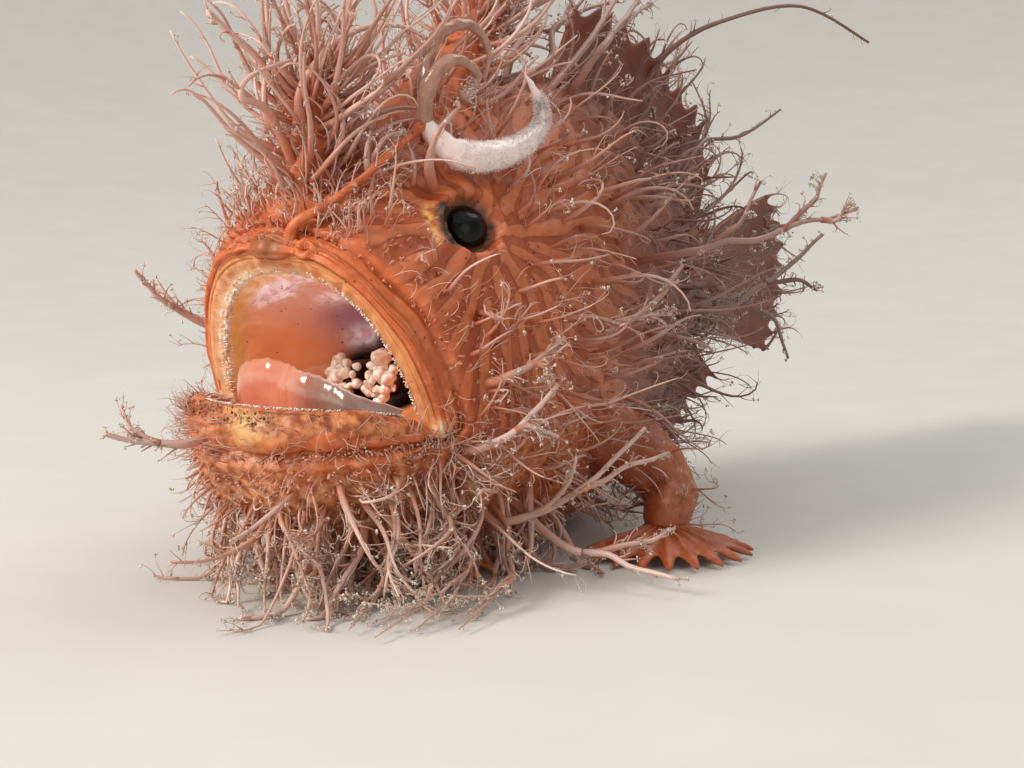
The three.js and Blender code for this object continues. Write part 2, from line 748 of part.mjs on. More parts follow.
// A short ring of flesh round a nostril
function nostril(position, angle) {
  const place = skinPoint(OUTER, position, degrees(angle));
  const normal = skinNormal(OUTER, position, degrees(angle));
  const turn = new THREE.Quaternion().setFromUnitVectors(new THREE.Vector3(0, 0, 1), normal);
  const matrix = new THREE.Matrix4().compose(place, turn, new THREE.Vector3(1, 1, 1.6));
  return solidOf(new THREE.TorusGeometry(0.75, 0.38, 4, 7), matrix);
}

// Round lid that stands a little proud round an eye
function lid() {
  const turn = new THREE.Quaternion().setFromUnitVectors(new THREE.Vector3(0, 0, 1), EYE_AXIS);
  const place = EYE_CENTRE.clone().addScaledVector(EYE_AXIS, EYE_RADIUS * 0.4);
  const matrix = new THREE.Matrix4().compose(place, turn, new THREE.Vector3(1, 1, 1.3));
  return solidOf(new THREE.TorusGeometry(LID_RADIUS, LID_THICKNESS, 4, 14), matrix);
}

// A fin: rays as ridges raised in a thin membrane that is notched between their tips.
// Each ray has a root, a tip and a point that it bends through. Both faces are split alike.
function fin(rays, { rayHalf = 0.55, membraneHalf = 0.26, notch = 0.12, rows = 3 }) {
  const columns = [];
  rays.forEach((ray, i) => {
    columns.push({ at: (t) => ray.curve.getPoint(t), half: rayHalf });
    const next = rays[i + 1];
    if (next) {
      const middle = (t) => ray.curve.getPoint(t).lerp(next.curve.getPoint(t), 0.5);
      columns.push({ at: (t) => middle(t * (1 - notch)), half: membraneHalf });
    }
  });
  const grid = columns.map((column) => Array.from({ length: rows + 1 }, (_, k) => column.at(k / rows)));
  const faceNormal = (c, k) => {
    const before = grid[Math.max(c - 1, 0)][k];
    const after = grid[Math.min(c + 1, grid.length - 1)][k];
    const along = grid[c][Math.min(k + 1, rows)].clone().sub(grid[c][Math.max(k - 1, 0)]);
    return after.clone().sub(before).cross(along).normalize();
  };
  const points = [];
  grid.forEach((column, c) =>
    column.forEach((point, k) => {
      const taper = THREE.MathUtils.lerp(1, 0.5, k / rows);
      const push = faceNormal(c, k).multiplyScalar(Math.max(columns[c].half * taper, 0.25));
      points.push(point.clone().add(push), point.clone().sub(push));
    }),
  );
  const at = (c, k, face) => (c * (rows + 1) + k) * 2 + face;
  const triangles = [];
  const quad = (a, b, c, d) => triangles.push([a, b, c], [a, c, d]);
  for (let c = 0; c < grid.length - 1; c++) {
    for (let k = 0; k < rows; k++) {
      quad(at(c, k, 0), at(c + 1, k, 0), at(c + 1, k + 1, 0), at(c, k + 1, 0));
      triangles.push([at(c, k, 1), at(c + 1, k + 1, 1), at(c + 1, k, 1)]);
      triangles.push([at(c, k, 1), at(c, k + 1, 1), at(c + 1, k + 1, 1)]);
    }
    quad(at(c, 0, 1), at(c + 1, 0, 1), at(c + 1, 0, 0), at(c, 0, 0));
    quad(at(c, rows, 0), at(c + 1, rows, 0), at(c + 1, rows, 1), at(c, rows, 1));
  }
  const lastColumn = grid.length - 1;
  for (let k = 0; k < rows; k++) {
    quad(at(0, k, 0), at(0, k + 1, 0), at(0, k + 1, 1), at(0, k, 1));
    quad(at(lastColumn, k, 1), at(lastColumn, k + 1, 1), at(lastColumn, k + 1, 0), at(lastColumn, k, 0));
  }
  return solidFrom(points, triangles);
}

function ray(root, tip, bow = new THREE.Vector3()) {
  const middle = root.clone().lerp(tip, 0.55).add(bow);
  return { curve: new THREE.QuadraticBezierCurve3(root, middle, tip) };
}

const sphereAround = (centre, radius) => ellipsoid(centre.toArray(), [radius, radius, radius], 12, 8);

// Head and body

const flesh = partBody();
const clearBody = closedBody(GAP);
const room = mouthRoom(GAP);
const sideNames = ['l', 'r'];
const onSide = (solid, side) => (side === 'l' ? solid : mirrored(solid));
const toSide = (point, side) => (side === 'l' ? point : point.clone().setX(-point.x));

const socket = sphereAround(EYE_CENTRE, EYE_RADIUS + GAP);
const rearNostril = nostril(4.1, 62);
const cranium = joined([flesh.cranium, lid(), mirrored(lid()), rearNostril, mirrored(rearNostril)])
  .subtract(socket)
  .subtract(mirrored(socket));
addNode('cranium', cranium, ORANGE_SKIN);
addNode('chin', flesh.chin, ORANGE_SKIN);
addNode('torso', flesh.torso, DARK_SKIN);
addNode('tail', flesh.tail, DARK_SKIN);
sideNames.forEach((side) => {
  const upperTeeth = teeth(18, 82, 9).map((tooth) => onSide(tooth, side));
  const lowerTeeth = teeth(-82, -40, 5).map((tooth) => onSide(tooth, side));
  const frontNostril = onSide(nostril(1.3, 76), side);
  addNode('cheek_' + side, flesh['cheek_' + side], ORANGE_SKIN);
  addNode('upper_jaw_' + side, joined([flesh['upper_jaw_' + side], frontNostril, ...upperTeeth]), LIP_SKIN);
  addNode('lower_jaw_' + side, joined([flesh['lower_jaw_' + side], ...lowerTeeth]), LIP_SKIN);
  const eye = onSide(sphereAround(EYE_CENTRE, EYE_RADIUS), side);
  addNode('eye_' + side, eye, CORNEA, 0.1);
});

// Inside the mouth

// Low cushion of the tongue behind the lower lip
const tongue = ellipsoid(TONGUE_CENTRE, TONGUE_RADII).intersect(room);
addNode('tongue', tongue, MOUTH_LINING, 0.35);

// A plate of blunt knobs on each side of the throat
function throatTeeth() {
  const random = randomFrom(11);
  const plate = ellipsoid(PLATE_CENTRE.toArray(), PLATE_RADII, 7, 4);
  const knobs = Array.from({ length: PLATE_KNOBS }, (_, i) => {
    const spin = i * 2.4;
    const reach = Math.sqrt(i / PLATE_KNOBS);
    const place = PLATE_CENTRE.clone().add(
      new THREE.Vector3(
        Math.cos(spin) * reach * PLATE_RADII[0] * 0.9,
        -Math.sqrt(1 - reach * reach * 0.8) * PLATE_RADII[1],
        Math.sin(spin) * reach * PLATE_RADII[2] * 0.9,
      ),
    );
    const size = 0.55 + 0.25 * random();
    return ellipsoid(place.toArray(), [size, size, size], 5, 4);
  });
  return joined([plate, ...knobs]);
}
sideNames.forEach((side) => {
  addNode('throat_teeth_' + side, onSide(throatTeeth(), side).intersect(room), TOOTH, 0.35);
});

// The lure and the spines of the back

const lureBase = new THREE.Vector3(9.9, 6.0, 51.2);
const lureRod = tube(ROD_PATH.map(point), ROD_RADII, 7, 12);
addNode('illicium', lureRod.subtract(clearBody).subtract(sphereAround(lureBase, LURE_BULB + GAP)), PINK_SKIN);
const lobes = LURE_LOBES.map(({ path, radii, sides, steps }) =>
  tube([lureBase, ...path.map(point)], radii, sides, steps),
);
const bulb = ellipsoid(lureBase.toArray(), [LURE_BULB, LURE_BULB, LURE_BULB], 10, 7);
addNode('esca', joined([bulb, ...lobes]), LURE_SKIN);

BACK_SPINES.forEach(({ name, path, radii }) => {
  addNode(name, tube(path.map(point), radii, 10, 6).subtract(clearBody), ORANGE_SKIN);
});

// The fins

const onMidline = (position, below) => skinPoint(OUTER, position, degrees(below ? -90 : 90));

const dorsalRays = Array.from({ length: DORSAL.rays }, (_, i) => {
  const t = i / (DORSAL.rays - 1);
  const root = onMidline(THREE.MathUtils.lerp(...DORSAL.along, t), false);
  const height = DORSAL.height * (0.72 + 0.42 * Math.sin(t * 2.4 + 0.35));
  const tip = root.clone().add(new THREE.Vector3(Math.sin(i * 1.7) * 0.8, height * 0.55, height * 0.9));
  return ray(root.setZ(root.z - 2), tip, new THREE.Vector3(0, -1, 1));
});
addNode('dorsal_fin', fin(dorsalRays, {}).subtract(clearBody), DARK_SKIN);

const analRays = Array.from({ length: ANAL.rays }, (_, i) => {
  const t = i / (ANAL.rays - 1);
  const root = onMidline(THREE.MathUtils.lerp(...ANAL.along, t), true);
  const reach = new THREE.Vector3(Math.sin(i * 1.3) * 0.5, ANAL.height * 0.85, -ANAL.height * 0.62);
  const tip = root.clone().add(reach);
  return ray(root.setZ(root.z + 2), tip, new THREE.Vector3(0, -0.6, -0.8));
});
addNode('anal_fin', fin(analRays, {}).subtract(clearBody), DARK_SKIN);

const caudalRays = Array.from({ length: CAUDAL.rays }, (_, i) => {
  const t = (i / (CAUDAL.rays - 1)) * 2 - 1;
  const root = new THREE.Vector3(0, CAUDAL.rootY - 1.5, CAUDAL.rootZ + t * CAUDAL.rootHalf);
  const spread = t * CAUDAL.spread;
  const reach = CAUDAL.length * (0.9 + 0.1 * Math.cos(t * 2.5));
  const outward = new THREE.Vector3(0, Math.cos(spread), Math.sin(spread));
  const tip = new THREE.Vector3(2.2 * t * t - 1, CAUDAL.rootY, CAUDAL.rootZ).addScaledVector(outward, reach);
  return ray(root, tip, new THREE.Vector3(0, 0, t * 1.2));
});
addNode('caudal_fin', fin(caudalRays, {}).subtract(clearBody), DARK_SKIN);

const aboveGround = box(300, 400, 200, new THREE.Vector3(0, 40, 100));

// Rays spread like fingers from a wrist, arching down to soles on the ground
function hand({ wrist, rays, fromAngle, toAngle, length }, side) {
  const centre = point(wrist);
  const fingers = Array.from({ length: rays }, (_, i) => {
    const angle = degrees(THREE.MathUtils.lerp(fromAngle, toAngle, i / (rays - 1)));
    const across = new THREE.Vector3(Math.cos(angle), Math.sin(angle), 0);
    const root = centre.clone().addScaledVector(across, 0.9);
    const tip = centre.clone().addScaledVector(across, length).setZ(SOLE_Z);
    return ray(toSide(root, side), toSide(tip, side), new THREE.Vector3(0, 0, centre.z * 0.22));
  });
  return fin(fingers, { rayHalf: 0.6, notch: 0.2 }).intersect(aboveGround);
}
sideNames.forEach((side) => {
  const armPath = ARM.path.map((p) => toSide(point(p), side));
  const arm = tube(armPath, ARM.radii, 10, 7);
  const clearArm = tube(armPath, ARM.radii.map((radius) => radius + GAP), 10, 7);
  addNode('pectoral_arm_' + side, arm.subtract(clearBody), ORANGE_SKIN);
  addNode('pectoral_fin_' + side, hand(PECTORAL, side).subtract(clearArm).subtract(clearBody), PINK_SKIN);
  addNode('pelvic_fin_' + side, hand(PELVIC, side).subtract(clearBody), PINK_SKIN);
});

// Filaments over the body

LONG_FILAMENTS.forEach((filament) => {
  const strands = longFilament(filament);
  if (isBlocked(strands, filament.node)) throw new Error('blocked: a long filament of ' + filament.node);
  nodes.get(filament.node).filaments.push(...strands.map((strand) => strandSolid(strand)));
});
PATCHES.forEach((patch, i) => growOn(patch.node, 101 + i, patch.count, skinDraw(patch)));
SPINE_COATS.forEach((coat, i) => growOn(coat.node, 301 + i, coat.count, spineDraw(coat)));
const finRays = [dorsalRays, analRays, caudalRays];
FIN_FRINGES.forEach((fringe, i) => {
  growOn(fringe.node, 401 + i, fringe.count, fringeDraw(fringe, finRays[i]));
});
sideNames.forEach((side, i) => {
  const curve = new THREE.CatmullRomCurve3(ARM.path.map((p) => toSide(point(p), side)), false, 'centripetal');
  const arm = { curve, outward: side === 'l' ? 1 : -1 };
  growOn('pectoral_arm_' + side, 501 + i, ARM_FILAMENTS.count, armDraw(ARM_FILAMENTS, arm));
});

// The group, with its origin moved to the middle of the flat under the belly

function toMesh(name, { solid, filaments, colour, roughness }) {
  const { numProp, vertProperties, triVerts } = largest(joined([solid, ...filaments])).getMesh();
  const count = vertProperties.length / numProp;
  const place = new Float32Array(count * 3);
  for (let i = 0; i < count; i++) place.set(vertProperties.subarray(i * numProp, i * numProp + 3), i * 3);
  const geometry = new THREE.BufferGeometry()
    .setAttribute('position', new THREE.BufferAttribute(place, 3))
    .setIndex(new THREE.BufferAttribute(triVerts, 1));
  const material = new THREE.MeshStandardMaterial({ color: colour, roughness, metalness: 0 });
  const mesh = new THREE.Mesh(geometry, material);
  mesh.name = name;
  return mesh;
}

const frogfish = new THREE.Group();
for (const [name, node] of nodes) frogfish.add(toMesh(name, node));
frogfish.position.y = -BELLY_FLAT_Y;

const model = new THREE.Group();
model.add(frogfish);

export default model;
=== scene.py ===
# %% [markdown]
# # A hairy frogfish with its mouth agape
# The live fish is about 9 cm long without its tail. It rests on its belly and on hand-like fins, and
# its loose, warty skin carries hundreds of fleshy filaments, so that it passes for a clump of weed.
# The solids of the frame give its true size and places. This file dresses them: one skin over the
# whole body, a coat of filaments, the eyes, the lure, the inside of the mouth and the fins.

# %% Load the frame
import itertools
import math

import bpy
import numpy as np
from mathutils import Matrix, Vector
from mathutils.bvhtree import BVHTree


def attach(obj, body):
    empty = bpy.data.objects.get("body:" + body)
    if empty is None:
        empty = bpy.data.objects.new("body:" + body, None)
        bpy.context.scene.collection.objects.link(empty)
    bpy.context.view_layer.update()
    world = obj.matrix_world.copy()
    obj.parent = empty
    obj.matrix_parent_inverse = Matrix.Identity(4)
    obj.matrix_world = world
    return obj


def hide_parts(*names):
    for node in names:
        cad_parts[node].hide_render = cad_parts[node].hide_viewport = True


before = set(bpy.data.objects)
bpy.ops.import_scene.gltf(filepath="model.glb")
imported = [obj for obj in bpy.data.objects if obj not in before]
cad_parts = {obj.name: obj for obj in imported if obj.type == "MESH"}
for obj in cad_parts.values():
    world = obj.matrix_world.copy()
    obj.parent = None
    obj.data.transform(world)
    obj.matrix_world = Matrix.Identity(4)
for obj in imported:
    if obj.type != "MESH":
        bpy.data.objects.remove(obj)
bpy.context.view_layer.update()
print("solids in the frame:", len(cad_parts))

# %% [markdown]
# ## Units and small helpers
# The fish is drawn in millimetres in a frame of its own, where y is 0 at the corners of the mouth.
# The frame of the solids has its origin under the belly, so every mesh is moved once, on making.

# %% Helpers for numbers and places
MM = 0.001
BELLY_FLAT_Y = 36.0  # the solids' origin, in the fish's own frame
TURN = 2 * math.pi


def to_model(points):
    """Millimetres in the fish's own frame to metres in the frame of the solids"""
    return (np.asarray(points, float) - (0.0, BELLY_FLAT_Y, 0.0)) * MM


def unit(vectors):
    """Vectors at length 1"""
    return vectors / np.maximum(np.linalg.norm(vectors, axis=-1, keepdims=True), 1e-9)


def to_left(points):
    """Places on the fish's right side mirrored to its left"""
    return np.concatenate([np.abs(points[..., :1]), points[..., 1:]], -1)


def side_signs(points):
    """What mirrors a step on the left side for each place: -1, 1, 1 on the right"""
    signs = np.ones_like(points)
    signs[..., 0] = np.where(points[..., 0] < 0, -1.0, 1.0)
    return signs


def smooth_step(low, high, value):
    """0 below low, 1 above high and smooth between them"""
    t = np.clip((value - low) / (high - low), 0, 1)
    return t * t * (3 - 2 * t)


def ridge(value, centre, width):
    """A round-topped ridge of height 1"""
    return np.exp(-(((value - centre) / width) ** 2))


def lattice(cells, seed):
    """A random number from 0 to 1 for each whole-number cell"""
    x, y, z = cells[..., 0], cells[..., 1], cells[..., 2]
    mixed = (x * 73856093) ^ (y * 19349663) ^ (z * 83492791) ^ (seed * 265443576)
    mixed = ((mixed ^ (mixed >> 13)) * 1274126177) & 0x7FFFFFFF
    return ((mixed ^ (mixed >> 16)) & 0xFFFFFF) / 0xFFFFFF


def bumps(points, size, seed):
    """Smooth noise from -1 to 1, with bumps about size millimetres across"""
    place = points / size
    cell = np.floor(place).astype(np.int64)
    part = place - cell
    part = part * part * (3 - 2 * part)
    total = np.zeros(place.shape[:-1])
    for corner in itertools.product((0, 1), repeat=3):
        weight = np.prod(np.where(corner, part, 1 - part), axis=-1)
        total += weight * lattice(cell + np.array(corner), seed)
    return total * 2 - 1


def drift(points, size, seed):
    """A smooth random way to wander, for each place"""
    return np.stack([bumps(points, size, seed + axis) for axis in range(3)], -1)


print("one millimetre is", MM, "of the scene's metres")

# %% Helpers for meshes
FLOOR_CONTACT = 0.02  # the lowest that a mesh may lie


def deselect():
    """Nothing stays selected, so that an operator acts on its own piece alone"""
    bpy.ops.object.select_all(action="DESELECT")


def mesh_piece(name, points, quads, triangles=()):
    """An object from points in the fish's own frame and faces of four and three corners. Points
    below the floor are lifted onto it, in the given array too."""
    quads = np.asarray(quads, np.int32).reshape(-1, 4)
    triangles = np.asarray(triangles, np.int32).reshape(-1, 3)
    corners = np.concatenate([quads.ravel(), triangles.ravel()])
    sizes = np.concatenate([np.full(len(quads), 4), np.full(len(triangles), 3)])
    starts = (np.cumsum(sizes) - sizes).astype(np.int32)
    points[:, 2] = np.maximum(points[:, 2], FLOOR_CONTACT)
    mesh = bpy.data.meshes.new(name)
    mesh.vertices.add(len(points))
    mesh.vertices.foreach_set("co", to_model(points).astype(np.float32).ravel())
    mesh.loops.add(len(corners))
    mesh.loops.foreach_set("vertex_index", corners)
    mesh.polygons.add(len(sizes))
    mesh.polygons.foreach_set("loop_start", starts)
    mesh.update(calc_edges=True)
    mesh.validate()
    mesh.shade_smooth()
    piece = bpy.data.objects.new(name, mesh)
    bpy.context.scene.collection.objects.link(piece)
    return piece


def turn_outwards(piece):
    """Merges the doubled points of a mesh and turns its faces outwards"""
    deselect()
    piece.select_set(True)
    bpy.context.view_layer.objects.active = piece
    bpy.ops.object.mode_set(mode="EDIT")
    bpy.ops.mesh.select_all(action="SELECT")
    bpy.ops.mesh.remove_doubles(threshold=1e-7)
    bpy.ops.mesh.normals_make_consistent(inside=False)
    bpy.ops.object.mode_set(mode="OBJECT")


def set_values(piece, name, values):
    """Stores a number or a vector for each point of a mesh, from an array or from one number"""
    values = np.asarray(values, np.float32)
    if values.ndim == 0:
        values = np.full(len(piece.data.vertices), values)
    kind, key = ("FLOAT", "value") if values.ndim == 1 else ("FLOAT_VECTOR", "vector")
    attribute = piece.data.attributes.new(name, kind, "POINT")
    attribute.data.foreach_set(key, values.ravel())


def finish_piece(piece, material, slot, nodes=()):
    """Gives a piece its finish, and says what it rides on and which solids it stands for"""
    piece.data.materials.clear()
    piece.data.materials.append(material)
    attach(piece, "root")
    if nodes:
        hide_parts(*nodes)
    print(piece.name, len(piece.data.loops) - 2 * len(piece.data.polygons), "triangles")


# %% [markdown]
# ## The camera
# The photograph looks at the head from its front left, a little from above, with a long lens.
# The corner of the fish's mouth is the point that ties the camera to the picture.

# %% Camera
VIEW_AZIMUTH = math.radians(36)
VIEW_ELEVATION = math.radians(8)
LENS = 70.0
SENSOR = 36.0
PICTURE = (1024, 768)
MOUTH_CORNER = np.array([15.5, 0.0, 17.5])
MOUTH_CORNER_PIXEL = (433, 440)
MOUTH_CORNER_DEPTH = 215.0

rightward = np.array([math.cos(VIEW_AZIMUTH), math.sin(VIEW_AZIMUTH), 0.0])
level_back = np.array([math.sin(VIEW_AZIMUTH), -math.cos(VIEW_AZIMUTH), 0.0])
back = level_back * math.cos(VIEW_ELEVATION) + (0, 0, math.sin(VIEW_ELEVATION))
upward = np.cross(rightward, -back)
pixel = SENSOR / LENS / PICTURE[0] * MOUTH_CORNER_DEPTH  # its size at the corner of the mouth
across = (MOUTH_CORNER_PIXEL[0] - PICTURE[0] / 2) * pixel
above = (PICTURE[1] / 2 - MOUTH_CORNER_PIXEL[1]) * pixel
camera_place = MOUTH_CORNER + back * MOUTH_CORNER_DEPTH - rightward * across - upward * above

deselect()
bpy.ops.object.camera_add(location=to_model(camera_place))
camera = bpy.context.object
camera.rotation_euler = Vector(-back).to_track_quat("-Z", "Y").to_euler()
camera.data.lens = LENS
camera.data.sensor_width = SENSOR
camera.data.clip_start = 0.005
bpy.context.scene.camera = camera
print("camera at", [round(v, 3) for v in camera.location])

# %% [markdown]
# ## Finishes
# A finish could be painted on an image, but then it would have one size and one view. Here nodes
# work each colour out from real sizes in millimetres and from markings that the mesh carries.
# One function adds a node, and the others lay pigments with it and finish a material.

# %% Helpers for finishes
FULL = (1.0,)  # a cover that leaves nothing bare
EVEN = (0.0,)  # the grain of a pigment with one tone


def srgb(code):
    """A linear colour from an sRGB hex value"""
    channels = [int(code[i : i + 2], 16) / 255 for i in (1, 3, 5)]
    linear = [c / 12.92 if c <= 0.04045 else ((c + 0.055) / 1.055) ** 2.4 for c in channels]
    return (*linear, 1.0)


def add_node(tree, kind, inputs=None, **settings):
    """Adds a shader node with its settings, and fills its inputs with values or links"""
    node = tree.nodes.new(kind)
    for name, value in settings.items():
        setattr(node, name, value)
    for name, value in (inputs or {}).items():
        if isinstance(value, bpy.types.NodeSocket):
            tree.links.new(value, node.inputs[name])
        else:
            node.inputs[name].default_value = value
    return node


def lay_pigments(tree, pigments, colour=(0, 0, 0, 1)):
    """Lays pigments over a colour, one by one. Each has a cover, a grain and the tones that it turns
    between with its grain. A cover or a grain is a value and, where it has an edge, the values
    where that edge starts and ends and the most that it reaches."""
    for cover, grain, *tones in pigments:
        shares = []
        for share, *edge in (cover, grain):
            if edge:
                inputs = dict(zip(("From Min", "From Max", "To Max"), edge))
                settings = {"interpolation_type": "SMOOTHSTEP"}
                node = add_node(tree, "ShaderNodeMapRange", {"Value": share, **inputs}, **settings)
                share = node.outputs[0]
            shares.append(share)
        tones = [srgb(tone) if isinstance(tone, str) else tone for tone in tones]
        inputs = {"Factor": shares[1], 6: tones[0], 7: tones[-1]}
        pigment = add_node(tree, "ShaderNodeMix", inputs, data_type="RGBA").outputs[2]
        inputs = {"Factor": shares[0], 6: colour, 7: pigment}
        colour = add_node(tree, "ShaderNodeMix", inputs, data_type="RGBA").outputs[2]
    return colour


def new_finish(name, paint, **values):
    """A material. Paint gives what varies over the surface, and values what is the same all over."""
    material = bpy.data.materials.new(name)
    material.use_nodes = True
    tree = material.node_tree
    tree.nodes.clear()
    inputs = {key.replace("_", " "): value for key, value in values.items()}
    shader = add_node(tree, "ShaderNodeBsdfPrincipled", {**inputs, **paint(tree)})
    add_node(tree, "ShaderNodeOutputMaterial", {"Surface": shader.outputs["BSDF"]})
    print("finish:", name)
    return material


# %% [markdown]
# ## The room
# A pale floor that curves up into a wall far behind, and three large soft lights. The strongest
# stands at the upper left, as in the photograph, so that the far flank falls into half shadow.

# %% Floor, lights and world
FLOOR_RADIUS = 1.6
FLOOR_BEND = 1.4
PAINT_PATCH = 16.7


def paint_floor(tree):
    """Two near tones of pale grey, as rolled paint dries"""
    place = add_node(tree, "ShaderNodeTexCoord").outputs["Object"]
    inputs = {"Vector": place, "Scale": 1 / (PAINT_PATCH * MM)}
    patches = add_node(tree, "ShaderNodeTexNoise", inputs).outputs["Fac"]
    return {"Base Color": lay_pigments(tree, [(FULL, (patches,), "#c9c6c0", "#d2cfc9")])}


# matt emulsion paint, which scatters light and shows no reflection of the lamps
painted_floor = new_finish("matt painted studio floor", paint_floor, Roughness=0.8)

deselect()
bpy.ops.mesh.primitive_circle_add(vertices=128, radius=FLOOR_RADIUS, fill_type="NGON")
floor = bpy.context.object
floor.name = "floor"
bpy.ops.object.mode_set(mode="EDIT")
bpy.ops.mesh.select_all(action="SELECT")
bpy.ops.mesh.region_to_loop()
bpy.ops.mesh.extrude_region_move(TRANSFORM_OT_translate={"value": (0, 0, FLOOR_RADIUS)})
bpy.ops.object.mode_set(mode="OBJECT")
bend = floor.modifiers.new("bend", "BEVEL")
bend.width = FLOOR_BEND
bend.segments = 32
bpy.ops.object.modifier_apply(modifier="bend")
floor.data.shade_smooth()
floor.data.materials.append(painted_floor)

LIT_PLACE = Vector((0, 0, 0.03))
for name, place, size, power, warmth in (
    ("key", (-0.26, -0.66, 0.46), 0.30, 6.6, (1.0, 0.95, 0.88)),
    ("fill", (0.60, -0.35, 0.30), 0.50, 0.5, (0.95, 0.97, 1.0)),
    ("top", (0.10, 0.35, 0.60), 0.50, 1.2, (1.0, 0.98, 0.95)),
):
    deselect()
    bpy.ops.object.light_add(type="AREA", location=place)
    lamp = bpy.context.object
    lamp.name = name
    lamp.data.shape = "DISK"
    lamp.data.size = size
    lamp.data.energy = power
    lamp.data.color = warmth
    lamp.rotation_euler = (LIT_PLACE - Vector(place)).to_track_quat("-Z", "Y").to_euler()

world = bpy.data.worlds.new("soft room")
bpy.context.scene.world = world
world.use_nodes = True
world.node_tree.nodes["Background"].inputs["Color"].default_value = srgb("#e9ebee")
world.node_tree.nodes["Background"].inputs["Strength"].default_value = 0.9
bpy.context.scene.view_settings.view_transform = "Standard"
print("the floor is", 2 * FLOOR_RADIUS, "m across")

# %% [markdown]
# ## The form of the body
# A station is one ring of the skin: the top and bottom on the midline, the widest point, how
# square the ring is and how its outline leans. Smooth curves through the stations give the skin
# at any place along it and at any angle round it. The lining of the mouth has stations of its own.

# %% Stations of the skin
# top y and z, bottom y and z, side x, y and z, squareness (wide, upper, lower), lean (up, down)
OUTER = np.array(
    [
        [-8.0, 37.0, -14.9, 21.5, 15.5, 0.0, 17.5, 0.85, 0.9, 0.45, 1.0, 1.7],
        [-8.8, 38.4, -15.6, 18.8, 17.1, 0.8, 18.0, 0.88, 0.9, 0.5, 1.1, 1.7],
        [-7.6, 39.8, -14.2, 15.6, 17.2, 2.0, 18.8, 0.9, 0.92, 0.7, 1.4, 1.6],
        [-6.0, 41.8, -11.8, 10.8, 18.3, 4.0, 20.3, 0.92, 0.95, 0.85, 1.6, 1.6],
        [1.0, 46.5, -4.5, 6.2, 19.4, 8.0, 22.0, 0.95, 0.95, 0.95, 1.6, 1.6],
        [13.0, 52.0, 8.0, 1.8, 19.6, 15.0, 23.0, 1.0, 0.95, 0.95, 1.6, 1.6],
        [26.0, 55.5, 21.0, -0.9, 18.6, 25.0, 24.0, 1.0, 1.0, 0.9, 1.6, 1.6],
        [38.0, 57.0, 35.0, -1.2, 16.6, 37.0, 26.0, 1.0, 1.0, 0.9, 1.6, 1.6],
        [50.0, 54.0, 49.0, 3.0, 13.6, 50.0, 27.0, 1.0, 1.0, 1.0, 1.6, 1.6],
        [62.0, 47.5, 61.0, 9.5, 9.6, 62.0, 28.0, 1.0, 1.0, 1.0, 1.6, 1.6],
        [72.0, 40.5, 71.0, 16.5, 6.0, 72.0, 28.0, 1.0, 1.0, 1.0, 1.6, 1.6],
        [80.0, 35.5, 79.5, 21.0, 3.6, 80.0, 28.0, 1.0, 1.0, 1.0, 1.6, 1.6],
        [84.5, 35.2, 84.5, 21.0, 2.2, 84.5, 28.0, 1.0, 1.0, 1.0, 1.6, 1.6],
    ]
)
MOUTH = np.array(
    [
        [-6.5, 35.5, -13.0, 20.0, 13.7, 1.2, 18.0, 0.85, 0.9, 0.6, 1.0, 1.6],
        [-1.0, 34.2, -6.5, 15.8, 13.4, 5.0, 20.3, 0.95, 0.9, 0.85, 1.2, 1.3],
        [7.5, 31.0, 5.0, 16.6, 10.0, 9.5, 22.5, 1.0, 1.0, 1.0, 1.2, 1.3],
        [14.0, 27.5, 13.0, 19.8, 4.6, 14.5, 23.5, 1.0, 1.0, 1.0, 1.2, 1.3],
    ]
)
LAST_STATION = len(OUTER) - 1
# angles round the body count from the fish's left side
BACK = math.pi / 2
BELLY = -math.pi / 2


def blend_stations(stations, position):
    """Smooth values between stations, at places counted in stations"""
    last = len(stations) - 1
    position = np.clip(np.asarray(position, float), 0, last)
    start = np.minimum(np.floor(position).astype(int), last - 1)
    t = (position - start)[..., None]
    here, there = stations[start], stations[start + 1]
    slope_here = (there - stations[np.maximum(start - 1, 0)]) / 2
    slope_there = (stations[np.minimum(start + 2, last)] - here) / 2
    return (
        here * (2 * t**3 - 3 * t**2 + 1)
        + slope_here * (t**3 - 2 * t**2 + t)
        + there * (3 * t**2 - 2 * t**3)
        + slope_there * (t**3 - t**2)
    )


def smooth_path(points, rings):
    """A smooth line through a few points"""
    points = np.asarray(points, float)
    return blend_stations(points, np.linspace(0, len(points) - 1, rings))


def bent_line(start, knee, end, t):
    """Places from 0 to 1 along a smooth bow from start to end, which leaves towards the knee"""
    return (1 - t) ** 2 * start + 2 * t * (1 - t) * knee + t**2 * end


def skin_point(stations, position, angle):
    """Places on a skin, at stations along it and angles round it"""
    values = np.moveaxis(blend_stations(stations, position), -1, 0)
    top_y, top_z, low_y, low_z, side_x, side_y, side_z, wide, upper, lower, lean_up, lean_down = values
    turn = np.cos(angle)
    rise = np.abs(np.sin(angle))
    is_upper = np.sin(angle) >= 0
    end_y = np.where(is_upper, top_y, low_y)
    end_z = np.where(is_upper, top_z, low_z)
    lean = np.where(is_upper, lean_up, lean_down)
    square = np.where(is_upper, upper, lower)
    x = side_x * np.sign(turn) * np.abs(turn) ** wide
    y = side_y + (end_y - side_y) * rise**lean
    z = side_z + (end_z - side_z) * rise**square
    return np.stack([x, y, np.maximum(z, 0.0)], axis=-1)


def skin_normal(position, angle):
    """Outward directions of the outer skin"""
    step = 0.03
    along = skin_point(OUTER, position + step, angle) - skin_point(OUTER, position - step, angle)
    round_it = skin_point(OUTER, position, angle + step) - skin_point(OUTER, position, angle - step)
    return unit(np.cross(along, round_it))


print("stations:", len(OUTER), "outside and", len(MOUTH), "in the mouth")

